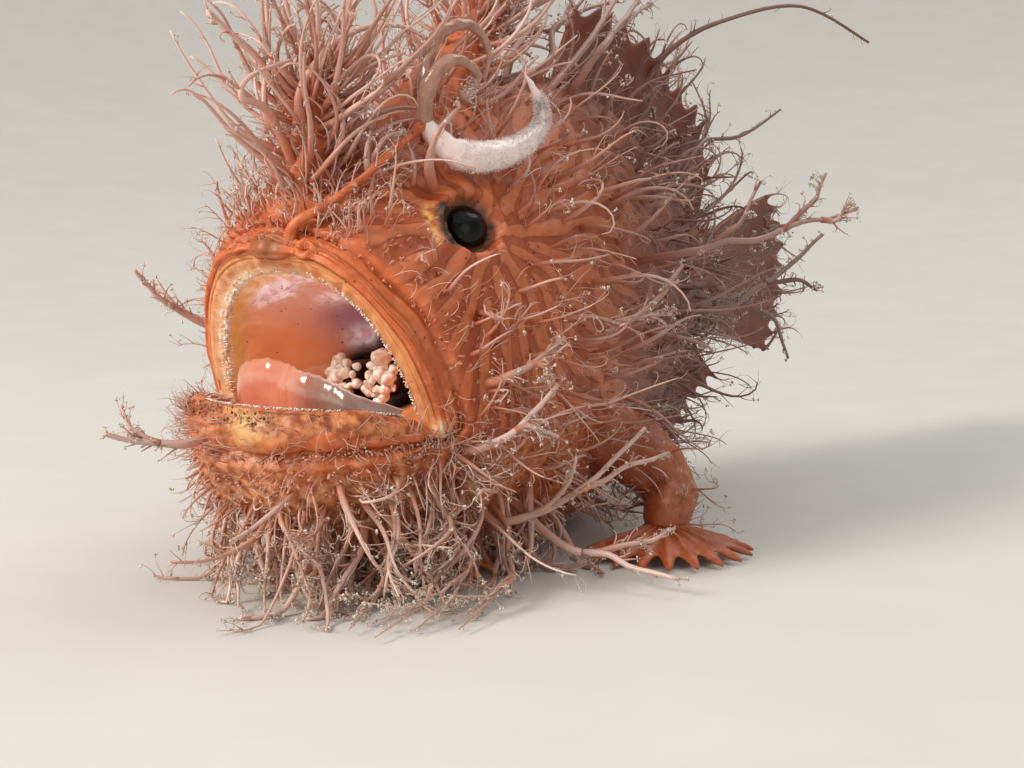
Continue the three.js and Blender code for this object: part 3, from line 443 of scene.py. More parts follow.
# %% [markdown]
# ## The skin
# A flat grid is rolled into the body: one side of it runs from the tail over the lips and down
# the throat, and the other runs round. This keeps one skin without a seam, and its even rows take
# the relief: the lip's roll, the folds behind it, warts, the raised rims of the eyes.

# %% Rows and columns of the skin
SKIN_COLUMNS = 384
HEAD_ROWS = 118
REAR_ROWS = 62
LIP_ROWS = 10
MOUTH_ROWS = 52
HEAD_END = 5.5  # the station where the rows grow sparser
LIP_BULGE = 0.9
LIP_DEPTH = 0.5  # what the roll of the lip counts for, in stations


def lip_point(share, angle):
    """A place on the rolled rim of the lips, from 0 outside to 1 inside"""
    outer = skin_point(OUTER, 0.0, angle)
    ahead = unit(outer - skin_point(OUTER, 0.4, angle))
    roll = ahead * LIP_BULGE * math.sin(math.pi * share)
    return outer * (1 - share) + skin_point(MOUTH, 0.0, angle) * share + roll


def closing_rows(ring, shares):
    """Smaller copies of a ring that close a hole, down to a point"""
    middle = ring[:-1].mean(axis=0)
    return [middle + (ring - middle) * share for share in shares]


round_angles = BELLY + TURN * np.linspace(0, 1, SKIN_COLUMNS + 1)
rear_places = np.linspace(LAST_STATION, HEAD_END, REAR_ROWS, endpoint=False)
outer_places = np.concatenate([rear_places, np.linspace(HEAD_END, 0, HEAD_ROWS)])
outer_rows = skin_point(OUTER, outer_places[:, None], round_angles)
lip_shares = np.linspace(0, 1, LIP_ROWS + 2)[1:-1]
lip_rows = [lip_point(share, round_angles) for share in lip_shares]
mouth_places = np.linspace(0, len(MOUTH) - 1, MOUTH_ROWS)
mouth_rows = skin_point(MOUTH, mouth_places[:, None], round_angles)
throat_rows = [mouth_rows[-1] + (0.0, 3.0 * k, 0.4 * k) for k in (1, 2, 3)]
throat_rows += closing_rows(throat_rows[-1], (0.6, 0.0))
tail_rows = closing_rows(outer_rows[0], (0.0, 0.5))
base = np.array([*tail_rows, *outer_rows, *lip_rows, *mouth_rows, *throat_rows])

# how far along each row is: outside it counts stations down to 0, and inside it goes below 0
row_place = np.concatenate(
    [
        np.full(len(tail_rows), LAST_STATION),
        outer_places,
        -LIP_DEPTH * lip_shares,
        -LIP_DEPTH - mouth_places,
        np.linspace(-3.6, -4.0, len(throat_rows)),
    ]
)
angle_grid, place_grid = np.meshgrid(round_angles, row_place)
run_round = np.gradient(base, axis=1)
run_round[:, 0] = run_round[:, -1] = (base[:, 1] - base[:, -2]) / 2
outward = -unit(np.cross(np.gradient(base, axis=0), run_round))
outward[: len(tail_rows)] = (0, 1, 0)
print("skin grid", base.shape)

# %% [markdown]
# ## Markings
# A striated frogfish has raised, flat, pinkish-brown bands that branch as they radiate from the eye
# over a darker ground. The chin is pale and grainy, and the skin darkens towards the rear. The skin
# and the filaments must agree, so one set of functions gives the strength of each marking at any
# place, and both carry the result in their points. Mottling and specks, which are finer, are left to the
# finish.

# %% Strength of each marking
EYE_CENTRE = np.array([12.6, 8.7, 39.3])
EYE_AXIS = unit(np.array([0.84, -0.35, 0.42]))
EYE_RADIUS = 3.1
FIRST_FORK = 4.6  # how far from the eye the bands begin
BANDS_ROUND_EYE = 12


def stripe_wave(points):
    """Bands that radiate from the eye, fork as they spread and break up into blotches far from it.
    The value is above 0 in a band and below 0 beside it."""
    offset = to_left(points) - EYE_CENTRE
    radius = np.maximum(np.hypot(offset[..., 1], offset[..., 2]), 1.0)
    spoke = np.arctan2(offset[..., 2], offset[..., 1]) + 0.16 * bumps(points, 7.0, 11)
    octave = np.log2(radius / FIRST_FORK)
    count = BANDS_ROUND_EYE * 2.0 ** np.floor(octave)
    share = smooth_step(0.35, 0.9, octave - np.floor(octave))
    wave = (1 - share) * np.cos(count * spoke) + share * np.cos(2 * count * spoke)
    far = smooth_step(18, 45, radius)
    return wave * (1 - 0.6 * far) + 0.45 * bumps(points, 3.0, 12) + 1.3 * far * bumps(points, 5.0, 24)


def darkening_to_rear(points):
    """How far the orange of the head darkens towards the rear, to a dark brown"""
    return 0.85 * smooth_step(14, 60, points[..., 1] + 5 * bumps(points, 12.0, 13))


def chin_strength(points):
    """The pale, grainy chin and throat"""
    height = points[..., 2] + 3 * bumps(points, 5.0, 14)
    return 0.85 * smooth_step(19, 11, height) * smooth_step(22, 6, points[..., 1])


def store_markings(piece, places, banded):
    """Puts the strength of each marking at the given places into a piece's points"""
    set_values(piece, "stripe", stripe_wave(places))
    set_values(piece, "banded", banded)
    set_values(piece, "rear", darkening_to_rear(places))
    set_values(piece, "chin", chin_strength(places))


def eye_frame(points):
    """How far out along the eye's axis, how far from it, at what angle round it and which way from
    it, for both eyes"""
    offset = to_left(points) - EYE_CENTRE
    out = offset @ EYE_AXIS
    away = offset - out[..., None] * EYE_AXIS
    first = unit(np.cross(EYE_AXIS, (0.0, 0.0, 1.0)))
    second = np.cross(first, EYE_AXIS)
    return out, np.linalg.norm(away, axis=-1), np.arctan2(away @ second, away @ first), away


print("bands round each eye:", BANDS_ROUND_EYE)

# %% [markdown]
# ## Relief
# Sculpting by hand would give the folds and warts, but not twice alike. Here each form is a ridge,
# a bump or a ring of known height at a known place, and all are added up before the skin is made.

# %% Regions of the skin
sine = np.sin(angle_grid)
is_upper_half = smooth_step(-0.5, -0.1, sine)
is_lower_half = 1 - is_upper_half
at_apex = smooth_step(0.6, 0.9, sine)
warty = smooth_step(1.0, 2.8, place_grid)
bare = 1 - warty
on_chin = smooth_step(-0.2, -0.6, sine) * smooth_step(0.8, 1.6, place_grid)
lining = smooth_step(-0.35, -0.6, place_grid)
eye_out, eye_off, eye_turn, _ = eye_frame(base)
on_eye_side = (eye_out > -2) * 1.0
banded = 0.75 * smooth_step(2.3, 3.2, place_grid) * (1 - 0.7 * on_chin)
# the folds of the upper jaw wander, so they read a place that does
fold_grid = place_grid + 0.3 * bumps(base, 6.0, 9) * smooth_step(0, 0.6, place_grid)


def spot(centre, ring=0.0, width=1.0):
    """A lump round a place, or a ring of some radius round it, on the left and right alike"""
    return ridge(np.linalg.norm(to_left(base) - centre, axis=-1), ring, width)


def ball(centre, width):
    """A soft ball of strength round a place on one side"""
    return ridge(np.linalg.norm(base - centre, axis=-1), 0, width)


def at_skin(position, degrees):
    """The place on the bare skin at a station and an angle"""
    return skin_point(OUTER, position, math.radians(degrees))


# where thin folds of the lining gather: pale folds, with a painted highlight of near-white where the wet
# folds reflect the lamps
FOLDS_WITH_PAINTED_HIGHLIGHT = np.array([[-8.9, -1.0, 31.7], [-6.5, 0.2, 33.0], [-3.1, 5.6, 31.5], [-4.8, 13.0, 26.2]])
palate_and_highlight = 0.7 * ridge(place_grid, -1.4, 0.28) * at_apex
palate_and_highlight = np.minimum(palate_and_highlight + sum(ball(fold, 1.9) for fold in FOLDS_WITH_PAINTED_HIGHLIGHT) * lining, 1.0)
print("palate covers", round(palate_and_highlight.mean() * 100, 1), "percent of the grid")

# %% Warts, folds and wrinkles
relief = 0.5 * bumps(base, 5.5, 1) * warty
relief += 0.32 * bumps(base, 2.3, 2) * warty * (1 - 0.6 * ridge(eye_off, 0, 6.0) * on_eye_side)
relief += 0.2 * np.abs(bumps(base, 1.3, 3)) * warty
relief += 0.35 * np.maximum(bumps(base, 1.7, 4), 0) * on_chin
# the fold behind the lip, the folds of the upper jaw and the crease before the cheek
for fold_place, depth, width in ((0.58, 0.45, 0.1), (1.25, 0.4, 0.16), (1.85, 0.35, 0.12), (2.4, 0.6, 0.16)):
    fades = smooth_step(-0.7, 0.5, bumps(base, 9.0, 20 + int(10 * fold_place)))
    relief -= depth * fades * ridge(fold_grid, fold_place, width) * is_upper_half
relief += 0.35 * ridge(fold_grid, 2.85, 0.3) * is_upper_half
relief += 0.4 * bumps(base, 4.2, 10) * smooth_step(-0.9, -0.2, place_grid) * bare
relief += 0.22 * bumps(base, 1.9, 22) * smooth_step(0.5, 0.9, place_grid) * bare
# fine creases that run along the lip where it is stretched, and wrinkles across it at the top
creases = np.cos(fold_grid * 22 + 3.0 * bumps(base, 4.0, 5)) * (0.5 + 0.5 * bumps(base, 2.5, 15))
relief += 0.11 * creases * smooth_step(-0.4, 0.1, place_grid) * bare * is_upper_half
wrinkles = np.cos(angle_grid * 46 + 4 * bumps(base, 3.0, 19))
wrinkles *= np.maximum(ridge(place_grid, -0.25, 0.4), at_apex * ridge(place_grid, -0.7, 0.5))
relief += 0.16 * wrinkles * (0.4 + 0.6 * at_apex) * is_upper_half
# the lower lip is thick and knobbly, with a fold across the chin below it
relief += 0.55 * bumps(base, 2.6, 6) * is_lower_half * smooth_step(-0.3, 0.3, place_grid) * bare
relief += 0.3 * np.abs(bumps(base, 1.2, 23)) * is_lower_half * smooth_step(-0.4, 0.2, place_grid)
relief -= 0.7 * ridge(place_grid, 1.75, 0.14) * is_lower_half
relief += 0.5 * ridge(place_grid, 2.1, 0.22) * is_lower_half
# the raised rim of each eye, with folds that radiate from it
relief += 0.9 * ridge(eye_off, 3.8, 1.3) * on_eye_side
relief += 0.22 * np.cos(eye_turn * 11) * ridge(eye_off, 5.6, 1.6) * on_eye_side
# soft folds of the mouth's lining, which gather behind the upper lip
relief += 0.3 * bumps(base * (1, 0.5, 1), 3.4, 7) * lining
relief += (0.9 * np.abs(bumps(base, 2.6, 16)) + 0.4 * np.abs(bumps(base, 1.2, 17))) * palate_and_highlight
gathers = np.cos(angle_grid * 26 + 2.5 * bumps(base, 4.0, 8)) * ridge(place_grid, -1.3, 0.25)
relief += 0.3 * gathers * is_upper_half
# the branching bands stand a little proud of the ground between them
relief += 0.3 * smooth_step(-0.2, 0.3, stripe_wave(base)) * banded
print("wrinkled from", round(relief.min(), 2), "to", round(relief.max(), 2), "mm")

# %% Single lumps, rings and pits
SNOUT_LOBE = np.array([1.0, -8.9, 38.3])
CORNER_KNOB = at_skin(0.7, -8)
NOSTRILS = (at_skin(1.3, 76), at_skin(4.1, 62))
GILL_PORE = at_skin(7.4, -42)

relief += spot(SNOUT_LOBE, width=1.7) * (1.3 + 0.8 * bumps(base, 1.2, 18))
relief += 0.9 * spot(CORNER_KNOB, width=0.8)
for nostril in NOSTRILS:
    relief += 0.55 * spot(nostril, 0.75, 0.35) - 0.5 * spot(nostril, width=0.4)
relief += 0.6 * spot(GILL_PORE, 1.5, 0.5) - 1.4 * spot(GILL_PORE, width=0.9)
skin_points = base + outward * relief[..., None]
print("relief from", round(relief.min(), 2), "to", round(relief.max(), 2), "mm")

# %% Sockets of the eyes
LID_RADIUS = 2.75
LID_REACH = 1.0  # how far from the lid's edge the skin starts to bend
SOCKET_DEPTH = 0.5
LID_HEIGHT = 0.35

# the skin dives behind each eyeball and turns over as a lid at its edge
eye_out, eye_off, eye_turn, _ = eye_frame(skin_points)
on_eye_side = (eye_out > -2) * 1.0
cornea = np.sqrt(np.maximum(EYE_RADIUS**2 - eye_off**2, 0))
is_lid = smooth_step(LID_RADIUS - 0.25, LID_RADIUS + 0.1, eye_off)
target = cornea - SOCKET_DEPTH + (LID_HEIGHT + SOCKET_DEPTH) * is_lid
share = smooth_step(LID_RADIUS + LID_REACH, LID_RADIUS, eye_off) * on_eye_side
skin_points += ((target - eye_out) * share)[..., None] * EYE_AXIS * side_signs(skin_points)
skin_points[..., 2] = np.maximum(skin_points[..., 2], FLOOR_CONTACT)
print("points moved for the eyes:", int((share > 0).sum()))

# %% [markdown]
# ## One skin
# On the fish the skin is loose and runs without a break from the lips to the tail. A flat grid takes
# the places worked out above, and where its sides meet and its ends close, doubled points merge.
# Each point also stores what it belongs to: a lip, the lining, the painted shade deep in the mouth or the rim
# of an eye.

# %% Roll the grid into the body
deselect()
bpy.ops.mesh.primitive_grid_add(x_subdivisions=SKIN_COLUMNS, y_subdivisions=len(base) - 1, size=2)
skin = bpy.context.object
skin.name = "skin"
skin.data.vertices.foreach_set("co", to_model(skin_points).astype(np.float32).ravel())

YELLOW_PATCH = np.array([2.4, -15.1, 19.8])
MAUVE_PLACE = np.array([-3.2, 10.2, 28.5])
GULLET = np.array([-0.8, 11.5, 21.6])

lip_edge = 0.62 + 0.5 * is_lower_half
lips = smooth_step(lip_edge, lip_edge - 0.2, fold_grid) * smooth_step(-0.8, -0.3, place_grid)
# painted shade: dark brown along the grooves of the folds behind the upper lip
painted_crease_shade = ridge(fold_grid, 0.6, 0.1) + 0.5 * ridge(fold_grid, 1.37, 0.12) + 0.7 * ridge(fold_grid, 2.4, 0.15)
# the pale rim of the lips is real, and its extra paleness towards the fish's right side, where the key lamp
# stands, is painted light
rim = ridge(place_grid, -0.3, 0.22) * is_upper_half * (0.3 + 0.7 * smooth_step(6, -6, base[..., 0]))
inner_rim = smooth_step(-1.25, -1.0, place_grid) * smooth_step(-0.1, -0.4, place_grid) * at_apex
ahead_of_eye = np.cos(eye_turn)
ring_reach = 3.1 + 1.5 * smooth_step(0.5, 0.9, ahead_of_eye)
gum = ridge(place_grid, -0.85, 0.3) * smooth_step(0.97, 0.7, sine) * is_upper_half
# painted shade: the lining turns near black round the gullet and where the mouth closes at its deepest
from_gullet = np.linalg.norm((base - GULLET) / (1.6, 1.3, 1.0), axis=-1)
throat = np.maximum(smooth_step(5.4, 4.0, from_gullet) * lining, smooth_step(-3.3, -3.6, place_grid))
marks = {
    "lips": np.maximum(lips, spot(CORNER_KNOB, width=0.9)),
    "upper": smooth_step(-0.3, -0.05, sine),
    "crease_shade": painted_crease_shade * is_upper_half,
    "moss": spot(SNOUT_LOBE, width=1.7),
    "lining": lining,
    "roof": smooth_step(0.3, 0.95, sine),
    "mauve": ball(MAUVE_PLACE, 5.0) * lining,
    "palate_and_highlight": palate_and_highlight,
    "rim": np.maximum(np.maximum(rim, 0.8 * inner_rim), 0.8 * spot(CORNER_KNOB, width=0.9)),
    "gum": gum + ball(YELLOW_PATCH, 2.4) * smooth_step(-0.2, 0.2, place_grid),
    "throat": throat,
    "eye_ring": smooth_step(ring_reach + 0.2, ring_reach - 0.2, eye_off) * on_eye_side,
    "gold": ridge(eye_off, 5.3, 0.45) * smooth_step(0.85, 0.97, ahead_of_eye) * on_eye_side,
}
for name, strength in marks.items():
    set_values(skin, name, strength.ravel())
store_markings(skin, base.reshape(-1, 3), banded.ravel())
turn_outwards(skin)
skin.data.shade_smooth()
print("skin:", len(skin.data.vertices), "points with", len(marks), "marks")

# %% [markdown]
# ## The colour of the skin
# Pigment cells make the skin orange, brown and cream, in patches of many sizes. They could be painted
# on an image, but pigments laid one over another by nodes stay sharp at any distance. The filaments
# use the same pattern, read at the place where each one is rooted.

# %% The pigments of the skin
# sizes in millimetres; the grit of a fish's skin is finer, and is drawn as coarse as it needs to show
MOTTLE = 6.0
FINE_MOTTLE = 1.1
SPECK_SPACING = 1.5
GRIT = 0.35


def paint_pattern(tree, place):
    """The colour of bands, chin and the darkening towards the rear at a place, and the two sizes of mottling
    in it
    """
    patches = []
    for size, detail in ((MOTTLE, 3.0), (FINE_MOTTLE, 4.0)):
        inputs = {"Vector": place, "Scale": 1 / (size * MM), "Detail": detail}
        patches.append(add_node(tree, "ShaderNodeTexNoise", inputs).outputs["Fac"])
    mottle, fine = patches
    mark = {}
    for name in ("stripe", "banded", "chin", "rear"):
        mark[name] = add_node(tree, "ShaderNodeAttribute", attribute_name=name).outputs["Fac"]
    band = (mark["stripe"], -0.2, 0.15)
    striped = [
        (FULL, (fine,), "#8a3719", "#b8582b"),
        ((mark["stripe"], -0.5, -0.15, 0.8), EVEN, "#74301a"),
        (band, (fine,), "#b25c36", "#d27e50"),
    ]
    dark = lay_pigments(tree, [(FULL, (mottle,), "#2f1711", "#5d3023")])
    dark_bands = lay_pigments(tree, [(band, EVEN, "#7a4a38")], dark)
    pigments = [
        (FULL, (mottle,), "#a8441c", "#d27238"),
        ((fine, 0.45, 0.7, 0.5), EVEN, "#dc8858"),
        ((mark["banded"],), EVEN, lay_pigments(tree, striped)),
        ((mark["chin"],), (fine, 0.35, 0.65), "#a85a34", "#dea376"),
        ((mark["rear"],), EVEN, lay_pigments(tree, [((mark["banded"],), EVEN, dark_bands)], dark)),
    ]
    return lay_pigments(tree, pigments), mottle, fine


def paint_skin(tree):
    """The pattern, with the colours of lips, mouth and eye rims laid over it"""
    place = add_node(tree, "ShaderNodeTexCoord").outputs["Object"]
    pattern, mottle, fine = paint_pattern(tree, place)
    mark = {}
    for name in marks:
        mark[name] = add_node(tree, "ShaderNodeAttribute", attribute_name=name).outputs["Fac"]
    cells = {"Vector": place, "Scale": 1 / (SPECK_SPACING * MM)}
    from_speck = add_node(tree, "ShaderNodeTexVoronoi", cells).outputs["Distance"]
    lips = [
        (FULL, (fine, 0.35, 0.65), "#9a4a25", "#cc8250"),
        ((mark["upper"],), (fine,), "#bd6836", "#e39c62"),
    ]
    inside = [
        (FULL, (mottle,), "#cc6a34", "#e8a06c"),
        ((mark["roof"],), (mottle,), "#c98468", "#f0bfae"),
        ((mark["mauve"],), (mottle,), "#8a5060", "#bb8896"),
        # pale pink folds of the mouth's roof, with a painted highlight in near-white over them
        ((mark["palate_and_highlight"],), (fine, 0.35, 0.6), "#dcb0b4", "#fff8ff"),
    ]
    pigments = [
        ((mark["lips"],), EVEN, lay_pigments(tree, lips)),
        # painted shade in the creases
        ((mark["crease_shade"], 0.3, 1.0, 0.75), EVEN, "#7a3510"),
        ((mark["moss"], 0.3, 0.9, 0.6), EVEN, "#6e4a22"),
        ((mark["lining"],), EVEN, lay_pigments(tree, inside)),
        # pale rim of the lips, made paler on the right side by painted light
        ((mark["rim"],), (fine, 0.35, 0.6), "#e6ad7a", "#f8dfba"),
        ((mark["gum"],), (fine,), "#b87a34", "#e8bd74"),
        # painted shade deep in the mouth
        ((mark["throat"],), EVEN, "#1c0c09"),
        ((mark["eye_ring"],), (fine, 0.4, 0.6), "#22160f", "#6e4a30"),
        ((mark["gold"],), (fine, 0.35, 0.6), "#b05a1c", "#ffc673"),
        ((from_speck, 0.1, 0.06, 0.85), EVEN, "#2a130d"),
    ]
    colour = lay_pigments(tree, pigments, pattern)
    inputs = {"Vector": place, "Scale": 1 / (GRIT * MM), "Detail": 3.0}
    grit = add_node(tree, "ShaderNodeTexNoise", inputs).outputs["Fac"]
    grain = {"Height": grit, "Strength": 0.5, "Distance": 0.12 * MM}
    sockets = {
        "Base Color": colour,
        "Emission Color": colour,
        "Normal": add_node(tree, "ShaderNodeBump", grain).outputs["Normal"],
    }
    # the lining is glossier than the skin, and a painted glow of emission lights it in place of the light
    # that the thin cheeks let through
    for name, outside, in_mouth in (
        ("Roughness", 0.46, 0.14),
        ("Coat Weight", 0.0, 0.8),
        ("Emission Strength", 0.0, 0.3),
    ):
        reach = {"Value": mark["lining"], "To Min": outside, "To Max": in_mouth}
        sockets[name] = add_node(tree, "ShaderNodeMapRange", reach).outputs[0]
    return sockets


# %% Living skin
# wet, slimy skin without scales: light sinks a little way into it, and the slime gives it a gloss
fish_skin = new_finish(
    "wet scaleless skin",
    paint_skin,
    Subsurface_Weight=0.25,
    Subsurface_Radius=(1.0, 0.35, 0.18),
    Subsurface_Scale=1.6 * MM,
    Coat_Roughness=0.08,
)
# the glow only lifts the shadows in the mouth, so it isn't counted among the lamps
fish_skin.cycles.emission_sampling = "NONE"
sided = [f"{part}_{letter}" for part in ("cheek", "upper_jaw", "lower_jaw") for letter in "lr"]
finish_piece(skin, fish_skin, "skin_front", ("cranium", "chin", "torso", "tail", *sided))

# %% [markdown]
# ## The eyes
# The eye is small, round and almost black, under a clear skin that shines. It is one ball of true
# size, set deep in its raised rim, with a narrow golden iris round a wide pupil.

# %% Eyeballs
IRIS_FROM = 2.45
IRIS_TO = 2.6
IRIS_FLECK = 0.4


def paint_eye(tree):
    """A black pupil with a brown and gold ring at its edge"""
    off = add_node(tree, "ShaderNodeAttribute", attribute_name="off_axis").outputs["Fac"]
    reach = {"Value": off, "From Min": IRIS_FROM, "From Max": IRIS_TO}
    in_iris = add_node(tree, "ShaderNodeMapRange", reach).outputs[0]
    place = add_node(tree, "ShaderNodeTexCoord").outputs["Object"]
    inputs = {"Vector": place, "Scale": 1 / (IRIS_FLECK * MM)}
    flecks = add_node(tree, "ShaderNodeTexNoise", inputs).outputs["Fac"]
    iris = [((in_iris,), (flecks,), "#2e1c10", "#94683a")]
    return {"Base Color": lay_pigments(tree, iris, srgb("#020505"))}


# a clear, wet window: one sharp small highlight and deep black below it
eye_finish = new_finish(
    "clear cornea over a dark pupil",
    paint_eye,
    Roughness=0.2,
    Specular_IOR_Level=0.1,
    Coat_Weight=0.3,
    Coat_Roughness=0.02,
)
for side, letter in ((1, "l"), (-1, "r")):
    deselect()
    bpy.ops.mesh.primitive_uv_sphere_add(segments=64, ring_count=40, radius=EYE_RADIUS * MM)
    eyeball = bpy.context.object
    eyeball.name = f"eyeball_{letter}"
    heights = np.array([v.co.z for v in eyeball.data.vertices]) / MM
    set_values(eyeball, "off_axis", np.sqrt(np.maximum(EYE_RADIUS**2 - heights**2, 0)))
    eyeball.rotation_euler = Vector(EYE_AXIS * (side, 1, 1)).to_track_quat("Z", "Y").to_euler()
    eyeball.location = to_model(EYE_CENTRE * (side, 1, 1))
    bpy.ops.object.transform_apply(location=True, rotation=True, scale=True)
    eyeball.data.shade_smooth()
    finish_piece(eyeball, eye_finish, "cornea", (f"eye_{letter}",))

# %% [markdown]
# ## How a filament grows
# The filaments are fleshy threads of skin: a tapered stem with thin side twigs, which carries crumbs
# of dirt at its tips. Hundreds of curves could be drawn by hand, but here each one grows instead:
# it starts along the skin's normal, turns step by step into the lie of its region, and curls.
# All the filaments of a region are grown together in arrays and become one mesh.

# %% Growing centre lines
SKIN_MARGIN = 0.35
FLOOR_MARGIN = 0.3
EYE_CLEARANCE = 4.2
EYE_OUTLOOK = 14.0  # how far ahead of an eye its view is kept clear
TURN_SPEED = 3.2
WANDER = 2.4
skin_tree = BVHTree.FromObject(skin, bpy.context.evaluated_depsgraph_get())


def keep_clear(points):
    """Moves points out of the skin, off the eyes and up from the floor"""
    out, off, _, away = eye_frame(points)
    push = np.maximum(EYE_CLEARANCE - off, 0) * (out > 0) * (out < EYE_OUTLOOK)
    metres = to_model(points + unit(away) * push[..., None] * side_signs(points))
    for i, place in enumerate(metres):
        nearest, normal, _, _ = skin_tree.find_nearest(Vector(place))
        if (Vector(place) - nearest).dot(normal) < SKIN_MARGIN * MM:
            metres[i] = nearest + normal * (SKIN_MARGIN * MM)
    points = metres / MM + (0.0, BELLY_FLAT_Y, 0.0)
    points[:, 2] = np.maximum(points[:, 2], FLOOR_MARGIN)
    return points


def grow_lines(roots, start, lie, lengths, steps, draw, bend=1.1, hook=1.8):
    """Centre lines that leave the skin, bend into the lie and curl up towards their tips"""
    heading = unit(start)
    spin_axis = unit(np.cross(lie, draw.normal(size=roots.shape)))
    bends = draw.normal(0, bend, size=len(roots))
    hooks = draw.normal(0, hook, size=len(roots))
    lines = [roots]
    for k in range(steps):
        share = (k + 1) / steps
        angle = ((bends * (1 - share) + hooks * 3 * share**2) / steps)[:, None]
        heading = unit(heading + (lie - heading) * min(TURN_SPEED / steps, 1) * (1 - share) ** 0.7)
        side_way = np.cross(spin_axis, heading)
        heading = unit(heading * np.cos(angle) + side_way * np.sin(angle))
        heading = unit(heading + WANDER / steps * drift(lines[-1], 4.0, 32))
        step = lines[-1] + heading * (lengths / steps)[:, None]
        lines.append(keep_clear(step) if k > 0 else step)
    return np.stack(lines, axis=1)


print("the coat keeps", SKIN_MARGIN, "mm off the skin")

# %% Tubes along centre lines
def ring_directions(lines):
    """Two directions across each line at every point, carried along without twist"""
    ahead = unit(np.gradient(lines, axis=1))
    first = unit(np.cross(ahead[:, 0], (0.31, 0.57, 0.76)))
    firsts = []
    for k in range(lines.shape[1]):
        first = unit(first - (first * ahead[:, k]).sum(-1, keepdims=True) * ahead[:, k])
        firsts.append(first)
    firsts = np.stack(firsts, axis=1)
    return firsts, np.cross(ahead, firsts)


def tube_mesh(lines, radii, sides):
    """Points and faces of round tubes along the lines, closed to a point at both ends"""
    count, rings, _ = lines.shape
    first, second = ring_directions(lines)
    turn = TURN * np.arange(sides) / sides
    across = first[:, :, None] * np.cos(turn)[:, None] + second[:, :, None] * np.sin(turn)[:, None]
    shell = lines[:, :, None] + across * radii[:, :, None, None]
    points = np.concatenate([shell.reshape(count, -1, 3), lines[:, [0, -1]]], axis=1)
    side = np.arange(sides)
    after = (side + 1) % sides
    here = sides * np.arange(rings - 1)[:, None]
    there = here + sides
    quads = np.stack([here + side, here + after, there + after, there + side], -1).reshape(-1, 4)
    root_end, tip_end, last = rings * sides, rings * sides + 1, (rings - 1) * sides
    root_fan = np.stack([after, side, np.full(sides, root_end)], -1)
    tip_fan = np.stack([last + side, last + after, np.full(sides, tip_end)], -1)
    fans = np.concatenate([root_fan, tip_fan])
    start = (np.arange(count) * points.shape[1])[:, None, None]
    along = np.concatenate([np.repeat(np.linspace(0, 1, rings), sides), [0, 1]])
    return points, (quads + start).reshape(-1, 4), (fans + start).reshape(-1, 3), np.tile(along, (count, 1))


print("tubes are closed to a point at both ends")

# %% Joining filaments to one coat piece
CRUMB = np.array([[1, 0, 0], [-1, 0, 0], [0, 1, 0], [0, -1, 0], [0, 0, 1], [0, 0, -1]], float)
CRUMB_FACES = np.array(
    [[0, 2, 4], [2, 1, 4], [1, 3, 4], [3, 0, 4], [2, 0, 5], [1, 2, 5], [3, 1, 5], [0, 3, 5]]
)
SILT = 1.5  # what a pale grain carries where a filament carries its place from 0 to 1
LITTER = 2.0  # the same for a dark grain
TUFT_PATCH = 0.003  # how much of the unwrap one filament takes
GOLDEN = 0.618  # steps of this share of a whole spread evenly
LOOSE_BANDS = 0.3  # how far filaments and stalks show the bands of the skin


class Coat:
    """Collects the filaments of one region, and makes them one mesh"""

    def __init__(self, name, slot, nodes=()):
        self.name, self.slot, self.nodes = name, slot, nodes
        self.parts = []
        self.size = 0

    def add(self, points, quads, fans, along, roots, spots, tone):
        """Adds filaments; roots are places for the markings and spots are places on the unwrap"""
        owned = [np.repeat(values, points.shape[1], axis=0) for values in (roots, spots, tone)]
        faces = (quads + self.size, fans + self.size)
        self.parts.append((points.reshape(-1, 3), *faces, along.ravel(), *owned))
        self.size += len(points) * points.shape[1]

    def add_tubes(self, lines, radii, sides, roots, spots, tone, fade=1.0):
        """Adds tubes along the given lines, which turn as pale at the tip as fade says"""
        points, quads, fans, along = tube_mesh(lines, radii, sides)
        self.add(points, quads, fans, along * fade, roots, spots, tone)

    def add_crumbs(self, places, sizes, roots, spots, draw, kind=SILT):
        """Adds small eight-sided grains of dirt"""
        count = len(places)
        stretch = draw.uniform(0.6, 1.4, size=(count, 1, 3))
        points = places[:, None] + CRUMB * sizes[:, None, None] * stretch
        fans = (CRUMB_FACES + (np.arange(count) * len(CRUMB))[:, None, None]).reshape(-1, 3)
        along = np.full((count, len(CRUMB)), kind)
        self.add(points, np.zeros((0, 4), int), fans, along, roots, spots, draw.uniform(size=count))

    def roughen(self, depth, size):
        """Pushes the newest points about, so that each form turns irregular"""
        points = self.parts[-1][0]
        for axis in range(3):
            points[:, axis] += depth * bumps(points, size, 72 + axis)

    def make(self, material):
        """Builds the mesh with its markings and its unwrap"""
        points, quads, fans, along, roots, spots, tone = map(np.concatenate, zip(*self.parts))
        piece = mesh_piece(self.name, points, quads, fans)
        set_values(piece, "along", along)
        set_values(piece, "tone", tone)
        set_values(piece, "root_place", to_model(roots))
        store_markings(piece, roots, LOOSE_BANDS)
        unwrap = piece.data.uv_layers.new(name="OFBake")
        corner = np.zeros(len(piece.data.loops), np.int32)
        piece.data.loops.foreach_get("vertex_index", corner)
        scatter = np.modf(np.arange(len(points)) * GOLDEN)[0]
        patch = np.stack([scatter, np.clip(along, 0, 1)], -1) * TUFT_PATCH
        unwrap.data.foreach_set("uv", (spots + patch)[corner].astype(np.float32).ravel())
        finish_piece(piece, material, self.slot, self.nodes)
        return piece


print("a crumb has", len(CRUMB_FACES), "faces")

# %% [markdown]
# ## The flesh of the filaments
# A filament has the colour of the skin at its root, and turns paler and greyer towards its tip,
# where light shines through it and dirt settles.

